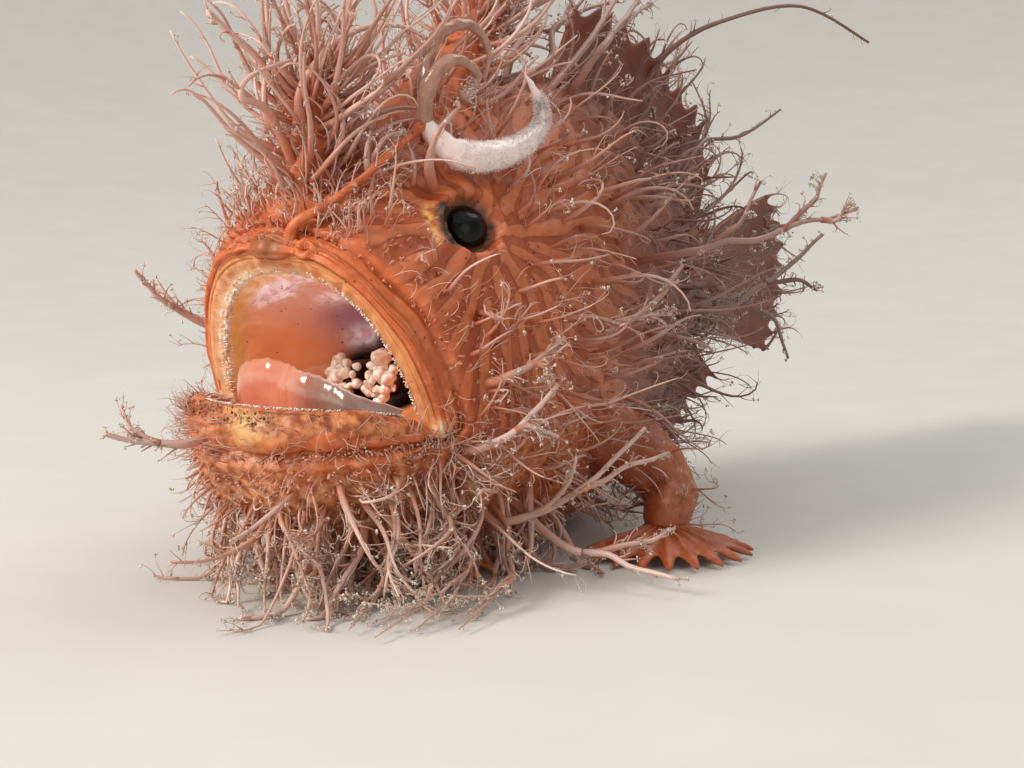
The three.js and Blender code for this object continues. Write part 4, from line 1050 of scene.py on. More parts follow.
# %% Finish of the filaments
def paint_filament(tree):
    """The skin's pattern at the root, pale flesh towards the tip, and the colours of the grains"""
    root_place = add_node(tree, "ShaderNodeAttribute", attribute_name="root_place").outputs["Vector"]
    pattern, _, _ = paint_pattern(tree, root_place)
    along, tone, rear = (
        add_node(tree, "ShaderNodeAttribute", attribute_name=name).outputs["Fac"]
        for name in ("along", "tone", "rear")
    )
    pale = [(FULL, (tone,), "#aa8476", "#d8bfb6"), ((rear,), (tone,), "#684a40", "#a08579")]
    pigments = [
        ((along, -0.15, 0.65, 0.85), EVEN, lay_pigments(tree, pale)),
        ((along, 1.1, 1.4), (tone,), "#9c8a78", "#e6dccb"),
        ((along, 1.7, 1.9), (tone,), "#3c271a", "#85705c"),
    ]
    return {"Base Color": lay_pigments(tree, pigments, pattern)}


# threads of wet skin so thin that light passes through them, less slimy than the body
filament_flesh = new_finish(
    "translucent skin filament with silt",
    paint_filament,
    Roughness=0.38,
    Subsurface_Weight=0.35,
    Subsurface_Radius=(1.0, 0.5, 0.35),
    Subsurface_Scale=0.8 * MM,
    Coat_Weight=0.15,
    Coat_Roughness=0.2,
)

# %% [markdown]
# ## The coat
# Each region has its own density, length and lie. Under the chin stands a dense fringe of thick
# stems that droop towards the floor. The head is covered in short curling threads, and the flank
# in longer ones that trail backwards.

# %% Filaments from given roots
ROOT_DEPTH = 0.6
TWIG_SIDES = 4
TWIG_STEPS = 5
GRAINS_PER_TIP = 5


def unwrap_spots(positions, angles):
    """Places on an unwrap of the skin: round it and along it"""
    along = np.broadcast_to(np.asarray(positions) / (LAST_STATION + 0.5), np.shape(angles))
    return np.stack([np.mod(angles / TURN + 0.25, 1.0), along], -1)


def add_twigs(coat, lines, radii, spots, roots, per_stem, length, draw, silt):
    """Fine side twigs on stems, with grains of silt at some tips"""
    # they stand closer together towards the tip of a stem, and are shorter there
    count = int(len(lines) * per_stem)
    stem = draw.integers(0, len(lines), count)
    place = draw.uniform(0.12, 1.0, count) ** 0.65 * (lines.shape[1] - 1.001)
    low = np.floor(place).astype(int)
    part = (place - low)[:, None]
    before, beyond = lines[stem, low], lines[stem, low + 1]
    ahead = unit(beyond - before)
    sideways = unit(np.cross(ahead, draw.normal(size=(count, 3))))
    share = place / (lines.shape[1] - 1)
    sizes = draw.uniform(*length, count) * (1.1 - 0.5 * share)
    start = before * (1 - part) + beyond * part
    lie = unit(ahead + 0.5 * sideways)
    twigs = grow_lines(start, sideways + 0.5 * ahead, lie, sizes, TWIG_STEPS, draw, hook=1.4)
    thick = np.clip(radii[stem, low] * 0.4, 0.05, 0.15)[:, None] * np.linspace(1.0, 0.35, TWIG_STEPS + 1)
    coat.add_tubes(twigs, thick, TWIG_SIDES, roots[stem], spots[stem], draw.uniform(size=count))
    dusty = draw.uniform(size=count) < silt
    tips = np.repeat(twigs[dusty, -1], GRAINS_PER_TIP, axis=0)
    tips = tips + draw.normal(0, 0.12, size=tips.shape)
    tips[:, 2] = np.maximum(tips[:, 2], FLOOR_MARGIN)
    owner = np.repeat(stem[dusty], GRAINS_PER_TIP)
    coat.add_crumbs(tips, draw.uniform(0.06, 0.17, len(tips)), roots[owner], spots[owner], draw)


def add_stems(
    coat,
    roots,
    normals,
    spots,
    lie,
    length,
    radius,
    draw,
    twigs=5,
    twig_length=(1.5, 4.5),
    silt=0.3,
    steps=12,
    sides=7,
    taper_to=0.22,
    fade=1.0,
    scatter=0.35,
    stand=0.55,
    **curl,
):
    """Stems with twigs. Stand says how far they keep to the normal, and silt how many tips carry it."""
    lengths = draw.uniform(*length, len(roots))
    astray = draw.normal(0, scatter, size=roots.shape)
    direction = unit(np.array(lie, float) + astray + stand * normals)
    lines = grow_lines(roots - normals * ROOT_DEPTH, normals, direction, lengths, steps, draw, **curl)
    taper = 1 - (1 - taper_to) * np.linspace(0, 1, steps + 1) ** 0.7
    thick = draw.uniform(*radius, len(roots))
    radii = thick[:, None] * taper * (1 + 0.12 * bumps(lines, 1.1, 31))
    coat.add_tubes(lines, radii, sides, roots, spots, draw.uniform(size=len(roots)), fade)
    if twigs:
        add_twigs(coat, lines, radii, spots, roots, twigs, twig_length, draw, silt)


print("a twig has", 2 * (TWIG_STEPS + 1) * TWIG_SIDES, "triangles")

# %% Filaments over patches of skin
EYE_BARE = 6.8
# steps along and across that fill a patch evenly, and where they start
SPREAD_STEPS = (0.7549, 0.5698)
SPREAD_STARTS = (0.13, 0.41)
# fine plain threads, short warts and stout stems with many dusty twigs
THREAD = {"twigs": 0, "steps": 10, "sides": 4, "bend": 0.8, "hook": 1.5}
WART = {"twigs": 0, "steps": 4, "sides": 5, "bend": 0.4, "hook": 0.4, "taper_to": 0.5, "fade": 0.25}
TWIGGY = {"twigs": 13, "twig_length": (1.8, 5.5), "silt": 0.5, "taper_to": 0.3}


def spread(count, along, degrees, draw):
    """Evenly spread places in a patch of the skin, with a little scatter"""
    shares = []
    for step, start in zip(SPREAD_STEPS, SPREAD_STARTS):
        shares.append(np.modf(np.arange(count) * step + start + draw.uniform(0, 0.06, count))[0])
    positions = along[0] + (along[1] - along[0]) * shares[0]
    return positions, np.radians(degrees[0] + (degrees[1] - degrees[0]) * shares[1])


def grow_coat(name, slot, patches):
    """A coat over patches of skin. Each has a seed, a number of stems, the stations and degrees that
    it spans, and the lie, lengths, radii and growth of its stems."""
    coat = Coat(name, slot)
    for seed, count, along, degrees, lie, length, radius, growth in patches:
        draw = np.random.default_rng(seed)
        positions, angles = spread(count, along, degrees, draw)
        clear = eye_frame(skin_point(OUTER, positions, angles))[1] > EYE_BARE
        positions, angles = positions[clear], angles[clear]
        roots = skin_point(OUTER, positions, angles)
        normals = skin_normal(positions, angles)
        spots = unwrap_spots(positions, angles)
        add_stems(coat, roots, normals, spots, lie, length, radius, draw, **growth)
    return coat


print("filaments stay", EYE_BARE, "mm off the middle of an eye")

# %% Fringe under the chin
fringe_patches = [
    (101, 78, (3.1, 6.1), (-118, -30), (0, -0.55, -0.85), (9, 18), (0.34, 0.7), TWIGGY),
    (108, 34, (3.4, 6.1), (-152, -112), (0.35, -0.15, -0.9), (7, 13), (0.3, 0.6), {**TWIGGY, "stand": 0.2}),
    (105, 30, (2.7, 5.2), (-96, -40), (0.6, -0.85, -0.3), (13, 20), (0.3, 0.52), TWIGGY),
]
grow_coat("coat_fringe", "skin_front", fringe_patches).make(filament_flesh)

# %% Chin
CHIN_GRAINS = 1500
LIP_GRAINS = 260

chin_patches = [
    (102, 200, (2.6, 6.0), (-150, -25), (0, -0.5, -0.5), (3, 8), (0.13, 0.28), {"twigs": 3, "sides": 6}),
    # a tuft of fine pale threads at each corner of the mouth
    (107, 46, (0.7, 2.0), (-24, 8), (0.2, -0.6, 0), (1.5, 4), (0.05, 0.1), THREAD),
    (107, 46, (0.7, 2.0), (172, 204), (-0.2, -0.6, 0), (1.5, 4), (0.05, 0.1), THREAD),
    (103, 700, (0.4, 6.0), (-155, -18), (0, -0.6, 0.2), (1.5, 5), (0.06, 0.11), THREAD),
    (104, 700, (1.7, 6.0), (-165, -12), (0, -0.5, 0), (0.7, 1.4), (0.12, 0.3), WART),
    (109, 70, (0.1, 0.9), (-152, -112), (0.3, -0.5, 0.6), (1, 3), (0.05, 0.1), THREAD),
]
chin_coat = grow_coat("coat_chin", "skin_front", chin_patches)
# dark grains lie along the lower lip
draw = np.random.default_rng(106)
angles = np.radians(draw.uniform(-145, -74, LIP_GRAINS))
places = skin_point(OUTER, draw.uniform(0.0, 0.7, LIP_GRAINS), angles)
places += draw.normal(0, 0.2, places.shape) + skin_normal(0.4, angles) * 0.35
sizes = draw.uniform(0.06, 0.2, LIP_GRAINS)
chin_coat.add_crumbs(places, sizes, places, unwrap_spots(0.4, angles), draw, LITTER)
# and pale grains of silt cling all over the chin
positions, angles = spread(CHIN_GRAINS, (1.6, 6.0), (-155, -20), draw)
places = skin_point(OUTER, positions, angles) + skin_normal(positions, angles) * 0.3
places += draw.normal(0, 0.15, places.shape)
sizes = draw.uniform(0.05, 0.17, CHIN_GRAINS)
chin_coat.add_crumbs(places, sizes, places, unwrap_spots(positions, angles), draw)
chin_coat.make(filament_flesh)

# %% Face, flank and rear
face_patches = [
    (111, 80, (2.9, 5.6), (34, 146), (0, 0.1, 0.9), (4, 11), (0.2, 0.42), {"twigs": 4}),
    (112, 46, (3.2, 5.8), (-32, 34), (0.3, 0.7, 0.3), (4, 11), (0.16, 0.38), {"twigs": 6}),
    (113, 46, (3.2, 5.8), (146, 212), (-0.3, 0.7, 0.3), (4, 11), (0.16, 0.38), {"twigs": 6}),
    (114, 460, (2.4, 6.0), (-30, 210), (0, 0.4, 0.3), (1.5, 6), (0.05, 0.1), THREAD),
    (115, 700, (2.2, 6.0), (-15, 195), (0, 0.3, 0), (0.5, 1.0), (0.1, 0.22), WART),
    (116, 70, (2.5, 4.4), (58, 122), (0, -0.2, 1), (2, 6), (0.12, 0.25), {"twigs": 6}),
    (117, 110, (0.8, 2.3), (70, 178), (-0.3, -0.3, 0.5), (0.8, 2.6), (0.04, 0.08), THREAD),
]
flank_patches = [
    (121, 150, (5.4, 9.8), (-62, 80), (0.3, 0.8, 0.2), (6, 16), (0.2, 0.45), {}),
    (125, 150, (5.4, 9.8), (100, 242), (-0.3, 0.8, 0.2), (6, 16), (0.2, 0.45), {}),
]
rear_patches = [
    (122, 900, (5.6, 11.6), (-75, 255), (0, 0.8, 0.1), (2, 7), (0.06, 0.12), THREAD),
    (123, 40, (9.4, 11.5), (-60, 240), (0, 0.9, 0.15), (5, 9), (0.2, 0.35), {}),
    (124, 900, (5.8, 11.8), (-80, 260), (0, 0.5, 0), (0.5, 1.1), (0.1, 0.25), WART),
]
grow_coat("coat_face", "skin_front", face_patches).make(filament_flesh)
grow_coat("coat_flank", "skin_rear", flank_patches).make(filament_flesh)
grow_coat("coat_rear", "skin_rear", rear_patches).make(filament_flesh)

# %% [markdown]
# ## The spines of the back
# Two stout spines stand behind the lure. Each is wrapped in thick, lumpy skin, and long filaments
# spring from it in a mop. The stalk is one thick tube whose skin is pushed in and out by noise.

# %% Stalks of flesh
ROOTS_IN_STALK = 0.85  # how far out the roots lie, as a share of the stalk's radius
UNWRAP_REACH = 0.95


def fleshy_tube(name, path, radii, sides, rings, lumps, material, slot, nodes=()):
    """A thick tube through a few points, with lumps on it. Gives the piece, its line and its radii."""
    line = smooth_path(path, rings)
    thick = smooth_path(np.array(radii)[:, None], rings)[:, 0]
    points, quads, fans, along = tube_mesh(line[None], thick[None], sides)
    points = points[0]
    centres = np.concatenate([np.repeat(line, sides, axis=0), line[[0, -1]]])
    away = unit(points - centres)
    for depth, size in lumps:
        points = points + away * (depth * bumps(points, size, 41))[:, None]
    piece = mesh_piece(name, points, quads, fans)
    set_values(piece, "along", along[0])
    store_markings(piece, points, LOOSE_BANDS)
    finish_piece(piece, material, slot, nodes)
    return piece, line, thick


def stalk_roots(line, thick, count, shares, draw):
    """Roots, normals and unwrap places spread over a stalk"""
    share = shares[0] + (shares[1] - shares[0]) * np.modf(np.arange(count) * SPREAD_STEPS[0])[0]
    turn = TURN * np.modf(np.arange(count) * SPREAD_STEPS[1] + draw.uniform(0, 0.05, count))[0]
    place = share * (len(line) - 1.001)
    low = np.floor(place).astype(int)
    part = (place - low)[:, None]
    centre = line[low] * (1 - part) + line[low + 1] * part
    first, second = ring_directions(line[None])
    normal = first[0, low] * np.cos(turn)[:, None] + second[0, low] * np.sin(turn)[:, None]
    roots = centre + normal * thick[low][:, None] * ROOTS_IN_STALK
    return roots, normal, np.stack([turn / TURN, share], -1) * UNWRAP_REACH


LUMPS = ((0.7, 3.2), (0.35, 1.4))
SPINES = {
    2: (
        [[0, -1, 39.5], [0, -1.6, 43.5], [0, -2.2, 50], [0, -0.8, 54.5], [0, 0.5, 58.5]],
        [4.6, 3.4, 2.3, 1.7, 0.9],
    ),
    3: (
        [[0, 16, 47], [0, 19, 52], [0, 25, 60], [0, 30, 63.8], [0, 34.5, 66.5]],
        [7.0, 5.0, 3.3, 2.2, 1.2],
    ),
}
stalks = {}
for number, (path, radii) in SPINES.items():
    nodes = (f"dorsal_spine_{number}",)
    stalk = fleshy_tube(f"spine_{number}", path, radii, 48, 70, LUMPS, fish_skin, "fins_median", nodes)
    stalks[number] = stalk[1:]

# %% Mops of the spines
MOP = {"fade": 1.12, "bend": 0.9, "hook": 1.3, "steps": 16, "stand": 0.3, "scatter": 0.2}
NODULE = np.array([-0.3, -5.0, 45.0])
NODULE_RINGS = 9


def add_nodule(coat, spot):
    """A round knob of pale skin on the front of a stalk"""
    line = smooth_path(NODULE + np.array([[0, 1.2, -0.1], [0, 0, 0], [-0.1, -0.9, 0.1]]), NODULE_RINGS)
    radii = 0.85 * np.sqrt(1 - np.linspace(-0.6, 0.98, NODULE_RINGS) ** 2)
    coat.add_tubes(line[None], radii[None], 14, NODULE[None], spot, np.array([0.9]))
    coat.roughen(0.15, 0.6)


# number of filaments, the part of the stalk that they cover, lie, lengths, radii and twigs
MOPS = {
    2: (
        (44, (0.32, 1.0), (0.2, 0.1, 1.0), (12, 21), (0.36, 0.6), 4),
        (44, (0.25, 0.95), (0.15, 0.4, 0.9), (10, 20), (0.32, 0.55), 4),
        (150, (0.22, 1.0), (0, 0, 0.6), (3, 9), (0.12, 0.26), 2),
    ),
    3: (
        (70, (0.22, 0.95), (0, 0.5, 0.8), (8, 16), (0.36, 0.6), 3),
        (150, (0.2, 1.0), (0, 0.3, 0.5), (3, 9), (0.12, 0.26), 2),
    ),
}
for seed, (number, tufts) in enumerate(MOPS.items(), 201):
    mop = Coat(f"coat_spine_{number}", "fins_median")
    draw = np.random.default_rng(seed)
    for count, shares, lie, length, radius, twigs in tufts:
        roots, normals, spots = stalk_roots(*stalks[number], count, shares, draw)
        add_stems(mop, roots, normals, spots, lie, length, radius, draw, twigs=twigs, **MOP)
    if number == 2:
        add_nodule(mop, spots[:1])
    mop.make(filament_flesh)

# %% [markdown]
# ## The lure
# The first spine is a fishing rod: a thin, smooth stalk over the lip. Its bait has three worm-like
# lobes. The largest is a thick pale sickle, smooth and pink at its root and furry beyond.

# %% Rod and bait
ROD = [[2, -7.2, 37.2], [3.2, -8.2, 40.6], [6, -5.8, 42.9], [8.5, -1.8, 46.2], [9.7, 4, 50.2], [9.9, 6, 51.2]]
ROD_RADII = [0.9, 0.6, 0.48, 0.42, 0.45, 0.75]
BAIT_ROOT = ROD[-1]
BAIT_LUMPS = ((0.14, 0.9), (0.08, 0.4))
BAIT_CLOUD = 1.2
# how brown each lobe is, its points after the root, and its radii
LOBES = {
    "sickle": (
        0,
        ((12, 7.7, 48.5), (14, 10.6, 47.6), (15, 15.9, 48.4))
        + ((15, 20.4, 50.6), (14.5, 21.5, 53.4), (14, 18.8, 57.1)),
        [0.9, 1.5, 1.7, 1.45, 0.95, 0.6, 0.08],
    ),
    "inner_curl": (
        1,
        ((10.5, 5.6, 54.7), (11.5, 6.3, 57.1), (12.5, 7.9, 58.2))
        + ((13, 10.1, 57.6), (13, 11.5, 56.2), (13, 8.9, 54)),
        [0.8, 0.95, 0.85, 0.7, 0.5, 0.5, 0.7],
    ),
    "outer_curl": (
        1,
        ((9.5, 6.5, 55.2), (9.5, 7.4, 59), (10, 8.8, 61.2))
        + ((11, 12.5, 62.2), (12, 14.7, 59.7), (12, 14.1, 56)),
        [0.7, 0.85, 0.8, 0.7, 0.6, 0.45, 0.12],
    ),
}


def paint_lure(tree):
    """A pale pinkish white, or the brown of the small lobes"""
    place = add_node(tree, "ShaderNodeTexCoord").outputs["Object"]
    inputs = {"Vector": place, "Scale": 1 / (BAIT_CLOUD * MM), "Detail": 3.0}
    cloud = (add_node(tree, "ShaderNodeTexNoise", inputs).outputs["Fac"],)
    brown = add_node(tree, "ShaderNodeAttribute", attribute_name="brown").outputs["Fac"]
    pigments = [(FULL, cloud, "#e8cac2", "#fff6f2"), ((brown,), cloud, "#8a5a48", "#c49a86")]
    return {"Base Color": lay_pigments(tree, pigments)}


# flesh almost without pigment, so that light spreads far inside it, under a thin wet film
lure_flesh = new_finish(
    "pale translucent lure flesh",
    paint_lure,
    Roughness=0.25,
    Coat_Weight=0.3,
    Subsurface_Weight=0.4,
    Subsurface_Radius=(1.0, 0.6, 0.5),
    Subsurface_Scale=1.0 * MM,
)
fleshy_tube("lure_rod", ROD, ROD_RADII, 20, 80, ((0.06, 1.0),), fish_skin, "lure_rod", ("illicium",))
lobes = {}
for name, (brown, path, radii) in LOBES.items():
    path = [BAIT_ROOT, *path]
    lobe = fleshy_tube(f"lure_{name}", path, radii, 28, 90, BAIT_LUMPS, lure_flesh, "lure_flesh", ("esca",))
    set_values(lobe[0], "brown", brown)
    lobes[name] = lobe[1:]

# %% [markdown]
# ## The long filaments
# A few filaments are so long that they shape the fish's outline: branched ones that trail off the
# flank, and arching ones from the back. These are placed one by one, each on a smooth bow from its
# root to its tip, with side branches that leave part of the way along.

# %% Where the longest filaments stand
# place along the skin in stations, angle round it in degrees, tip, and branches (share, tip)
LONG_FILAMENTS = (
    (
        7.32,
        15,
        (34, 63.5, 40.4),
        ((0.4, (27.2, 50.2, 43.8)), (0.72, (31, 60.4, 44.8)), (0.86, (35.5, 58, 41.4))),
    ),
    (8.6, -5, (24, 73.3, 36.1), ((0.45, (21, 70.1, 19.6)), (0.7, (25.5, 69.5, 29)))),
    (6.75, 76, (0.8, 47.5, 66.0), ()),
    (7.1, 68, (2.6, 62.5, 68.2), ((0.6, (6.5, 58.0, 66.5)),)),
    (5.75, 4, (24, 37.3, 34.3), ((0.6, (25.5, 32.0, 29.0)),)),
    (3.45, 5, (24, 12.7, 28), ((0.7, (24.6, 9.4, 23.8)),)),
    (3.5, -22, (24.6, 10.5, 23.1), ((0.65, (25.4, 9.5, 17.5)),)),
    (4.95, -45, (27, 24.6, 16.7), ((0.45, (24.6, 14.2, 14.6)), (0.7, (28, 28.2, 13.4)))),
    (5.3, -40, (37, 16.0, 2.0), ((0.6, (31.5, 24.0, 5.6)),)),
    (1.3, -99, (-8, -25.6, 19.3), ((0.6, (-8.6, -22.4, 21.4)),)),
    (2.0, 158, (-18.6, -10.8, 35), ((0.55, (-20, -5.8, 33)),)),
)
# stems of the chin that lie on the floor in front: station, angle, and the x and y of the tip
FLOOR_STEMS = (
    (3.2, -85, 8.2, -18.8),
    (3.6, -72, 13.0, -18.6),
    (4.0, -60, 18.6, -17.8),
    (4.4, -50, 22.6, -18.6),
    (4.6, -44, 23.8, -13.2),
    (5.0, -40, 27.4, -11.0),
    (4.2, -70, 15.5, -12.9),
    (5.0, -55, 22.2, -3.7),
    (3.4, -98, 3.0, -17.5),
    (4.4, -62, 19.0, -12.2),
    (5.2, -48, 24.6, -6.6),
)
# the thickness of a strand at its root and at its tip
LONG_RADII = (0.62, 0.24)
FLOOR_RADII = (0.46, 0.09)
LYING_HEIGHT = 0.8
FIRST_ON_FLANK = 3.3
BACK_FROM = 70  # degrees

strands = [(*filament, *LONG_RADII) for filament in LONG_FILAMENTS]
# the right side, which the photograph hides, has long filaments much like those of the left
for position, degrees, (x, y, z), branches in LONG_FILAMENTS:
    on_flank = position > FIRST_ON_FLANK and degrees < BACK_FROM
    if on_flank:
        tip = (-0.92 * x, y + 1, max(z - 1, LYING_HEIGHT))
        twins = [(share, (-0.92 * bx, by + 1, bz - 1)) for share, (bx, by, bz) in branches]
        strands.append((position + 0.2, 176 - degrees, tip, twins, *LONG_RADII))
for position, degrees, x, y in FLOOR_STEMS:
    branch = (0.6, (x - 3, y + 2, 3.5))
    strands.append((position, degrees, (x, y, LYING_HEIGHT), (branch,), *FLOOR_RADII))
print("long strands:", len(strands))

# %% The longest filaments, one by one
LONG_STEPS = 28
LONG_SIDES = 10


def wandering_line(start, knee, end):
    """A bent line of even steps that wanders a little between its ends"""
    t = np.linspace(0, 1, LONG_STEPS + 1)[:, None]
    line = bent_line(start, knee, end, t)
    return line + drift(line, 4.0, 51) * np.sin(math.pi * t) * 0.9


def uneven(radii, lines):
    """Radii that swell and shrink a little along each line"""
    return radii * (1 + 0.1 * bumps(lines, 1.0, 54))


long_coat = Coat("coat_long", "skin_front")
draw = np.random.default_rng(301)
for position, degrees, tip, branches, root_radius, tip_radius in strands:
    angle = math.radians(degrees)
    root = skin_point(OUTER, position, angle)
    normal = skin_normal(position, angle)
    reach = np.linalg.norm(tip - root)
    line = wandering_line(root - normal, root + normal * reach * 0.35, np.array(tip))
    lines = [line]
    for share, branch_tip in branches:
        start = int(share * LONG_STEPS)
        ahead = unit(line[start + 1] - line[start])
        length = np.linalg.norm(branch_tip - line[start])
        knee = line[start] + ahead * length * 0.45
        lines.append(wandering_line(line[start], knee, np.array(branch_tip)))
    lines = np.array(lines)
    radii = np.linspace(0.68 * root_radius, 0.8 * tip_radius, LONG_STEPS + 1) * np.ones((len(lines), 1))
    radii[0] = np.linspace(root_radius, tip_radius, LONG_STEPS + 1)
    radii = uneven(radii, lines)
    roots = np.repeat(root[None], len(lines), axis=0)
    spots = np.repeat(unwrap_spots(position, angle)[None], len(lines), axis=0)
    long_coat.add_tubes(lines, radii, LONG_SIDES, roots, spots, draw.uniform(size=len(lines)))
    add_twigs(long_coat, lines, radii, spots, roots, 22, (0.7, 3.2), draw, silt=0.9)

# %% Tendrils
TENDRIL_TIP = 0.18
# the thickness at the root, and the points that the tendril passes through
TENDRILS = (
    # curls at the front of the second spine
    (0.55, (0, -4, 46), (0, -8.4, 52.6), (0, -12.4, 54.1), (0, -11.1, 56.3), (0, -4.5, 58.2)),
    (0.5, (-1, -3, 48), (-2, -6.5, 52), (-3.4, -5, 58), (-4, -4, 64.6), (-5, -4.5, 73)),
    (0.5, (-1, -3, 50), (-3, -5.7, 57.4), (-5, -9.1, 61.2), (-6, -11, 63.2), (-4.6, -11.8, 62)),
    (0.6, (1, -3.4, 49), (1.6, -5, 55), (3, 0.8, 60.8), (6, 5.9, 62), (8, 9, 60.5)),
    # between the lure and the eye
    (0.55, (6.6, 1.6, 43.6), (7, -0.3, 46.4), (6.8, -0.2, 48.6), (7, 0.2, 50.6)),
    (0.4, (7, 0, 46.6), (7.6, 0.3, 48.2), (8.2, 1.2, 49.8), (9, 2.7, 50.4)),
    (0.75, (10.4, 7, 43.4), (11.6, 4.6, 46), (12.5, 3.6, 47.8), (14, 3.1, 50.5), (14.5, 6.3, 53.2)),
    # straight stems beside the third spine
    (0.65, (3.5, 18.5, 50.5), (5, 21, 52.8), (4, 27.9, 58), (3, 40.2, 66.2), (2.5, 46, 71)),
    (0.65, (5, 31, 52), (6, 34.4, 54.6), (5, 45.7, 61.4), (4, 53, 66.7), (3.5, 58, 69.5)),
    # arches from the tips of the fin on the back
    (0.45, (0, 66, 56), (3, 69, 61), (8, 73, 64.5), (16, 81, 66.7), (21, 92, 62)),
    (0.4, (0, 73, 47), (3, 78, 48.4), (6, 83, 49), (8, 90.6, 52.6)),
)
for thickness, *path in TENDRILS:
    line = smooth_path(path, LONG_STEPS + 1)[None]
    radii = uneven(np.linspace(thickness, TENDRIL_TIP, LONG_STEPS + 1), line)
    root = np.array(path[:1], float)
    spot = np.array([[0.4 + 0.01 * thickness, 0.5]])
    long_coat.add_tubes(line, radii, LONG_SIDES, root, spot, draw.uniform(size=1))
    add_twigs(long_coat, line, radii, spot, root, 9, (1.2, 4.0), draw, silt=0.7)
long_coat.make(filament_flesh)

# %% [markdown]
# ## Fins
# A fin is a thin membrane between stiff rays. The paired fins are the fish's hands and feet: they
# are thick, and their rays end in separate fingers. Both faces of a fin are one grid, rolled round
# its free edge, and the rays are raised out of it.

# %% Fins from rays
FIN_COLUMNS = 10
FIN_ROWS = 26
FIN_BANDS = 0.1  # how far a fin shows the bands of the skin
# half the thickness at a ray and between rays, at the root
MEMBRANE = (0.55, 0.22)
FINGERS = (0.75, 0.35)


def rays(roots, tips, bows):
    """Roots, bending points and tips of rays that bend a little past their middle"""
    roots, tips, bows = (np.asarray(p, float) for p in (roots, tips, bows))
    return roots, roots + (tips - roots) * 0.55 + bows, tips


def fin_piece(name, fin_rays, halves, notch, slot, nodes, material=fish_skin):
    """A fin from its rays. The notch is how far the edge draws back between them."""
    last_ray = len(fin_rays[0]) - 1
    u = np.linspace(0, last_ray, last_ray * FIN_COLUMNS + 1)
    v = np.linspace(0, 1, FIN_ROWS + 1)[:, None]
    is_ray = (0.5 + 0.5 * np.cos(TURN * u)) ** 1.5
    t = v * (1 - notch * (1 - is_ray))
    sheet = bent_line(*(smooth_path(p, len(u)) for p in fin_rays), t[..., None])
    normal = unit(np.cross(np.gradient(sheet, axis=1), np.gradient(sheet, axis=0)))
    half = (halves[1] + (halves[0] - halves[1]) * is_ray) * (1 - 0.5 * v)
    half = half * np.sqrt(np.clip((1.0 - v) * 12, 0.1, 1))
    half = half * (1 + 0.15 * bumps(sheet, 1.3, 61))
    sheet = sheet + normal * (0.12 * bumps(sheet, 2.0, 62))[..., None]
    loop = np.concatenate([sheet + normal * half[..., None], (sheet - normal * half[..., None])[::-1]])
    rings, columns = loop.shape[:2]
    number = np.arange(rings * columns).reshape(rings, columns)
    beyond = np.roll(number, -1, axis=0)
    around = [number[:, :-1], number[:, 1:], beyond[:, 1:], beyond[:, :-1]]
    faces = [np.stack(around, -1).reshape(-1, 4)]
    row = np.arange(rings // 2 - 1)
    for column, order in ((0, 1), (columns - 1, -1)):
        corners = number[:, column]
        cap = [corners[row], corners[row + 1], corners[rings - 2 - row], corners[rings - 1 - row]]
        faces.append(np.stack(cap[::order], -1))
    points = loop.reshape(-1, 3)
    piece = mesh_piece(name, points, np.concatenate(faces))
    store_markings(piece, points, FIN_BANDS)
    edge = np.concatenate([v[:, 0], v[::-1, 0]])
    set_values(piece, "along", np.repeat(edge, columns))
    turn_outwards(piece)
    finish_piece(piece, material, slot, nodes)
    return piece


print("a fin has", 2 * (FIN_ROWS + 1), "rows round its two faces")

# %% Fins of the midline
TAIL_BASE = np.array([0.0, 83.0, 28.1])
# as many rays in each fin as the species has
DORSAL_RAYS = 12
ANAL_RAYS = 7
CAUDAL_RAYS = 9

i = np.arange(DORSAL_RAYS)
t = i / (DORSAL_RAYS - 1)
roots = skin_point(OUTER, 7.5 + 3.4 * t, BACK)
height = 13 * (0.72 + 0.42 * np.sin(t * 2.4 + 0.35))
tips = roots + np.stack([np.sin(i * 1.7) * 0.8, height * 0.55, height * 0.9], -1)
dorsal = rays(roots - (0, 0, 2), tips, (0, -1, 1))

i = np.arange(ANAL_RAYS)
roots = skin_point(OUTER, 9.2 + 1.5 * i / (ANAL_RAYS - 1), BELLY)
tips = roots + (0, 9.35, -6.82)
tips[:, 0] += np.sin(i * 1.3) * 0.5
anal = rays(roots + (0, 0, 2), tips, (0, -0.6, -0.8))

t = np.linspace(-1, 1, CAUDAL_RAYS)
reach = 25 * (0.9 + 0.1 * np.cos(t * 2.5))
roots = TAIL_BASE + np.stack([t * 0, t * 0, t * 6.0], -1)
tips = TAIL_BASE + np.stack([2.2 * t**2 - 1, 1.5 + np.cos(t * 0.62) * reach, np.sin(t * 0.62) * reach], -1)
caudal = rays(roots, tips, np.stack([t * 0, t * 0, t * 1.2], -1))

# name, rays, notch, and the number and lengths of the filaments on it
MEDIAN_FINS = (
    ("dorsal", dorsal, 0.14, 40, (5, 11)),
    ("anal", anal, 0.16, 14, (3, 7)),
    ("caudal", caudal, 0.1, 34, (3, 8)),
)
for name, fin_rays, notch, _, _ in MEDIAN_FINS:
    fin_piece(f"fin_{name}", fin_rays, MEMBRANE, notch, "fins_median", (f"{name}_fin",))

# %% [markdown]
# ## Arms, hands and feet
# The fish stands and walks on its paired fins, on stout arms that bend like elbows. The arms are
# fleshy tubes like the spines, and hands and feet are thick fins that lie spread on the floor.

# %% Arms, hands and feet
ARM = [[8, 31, 16], [13, 35, 13.5], [17.5, 37.5, 11], [22, 38, 6.8], [23.8, 34.5, 3.9], [24.2, 33, 2.6]]
ARM_RADII = [5.6, 5.0, 4.3, 3.5, 2.7, 1.6]
ARM_LUMPS = ((0.5, 3.0), (0.25, 1.3))
FINGERTIP_HEIGHT = 0.45
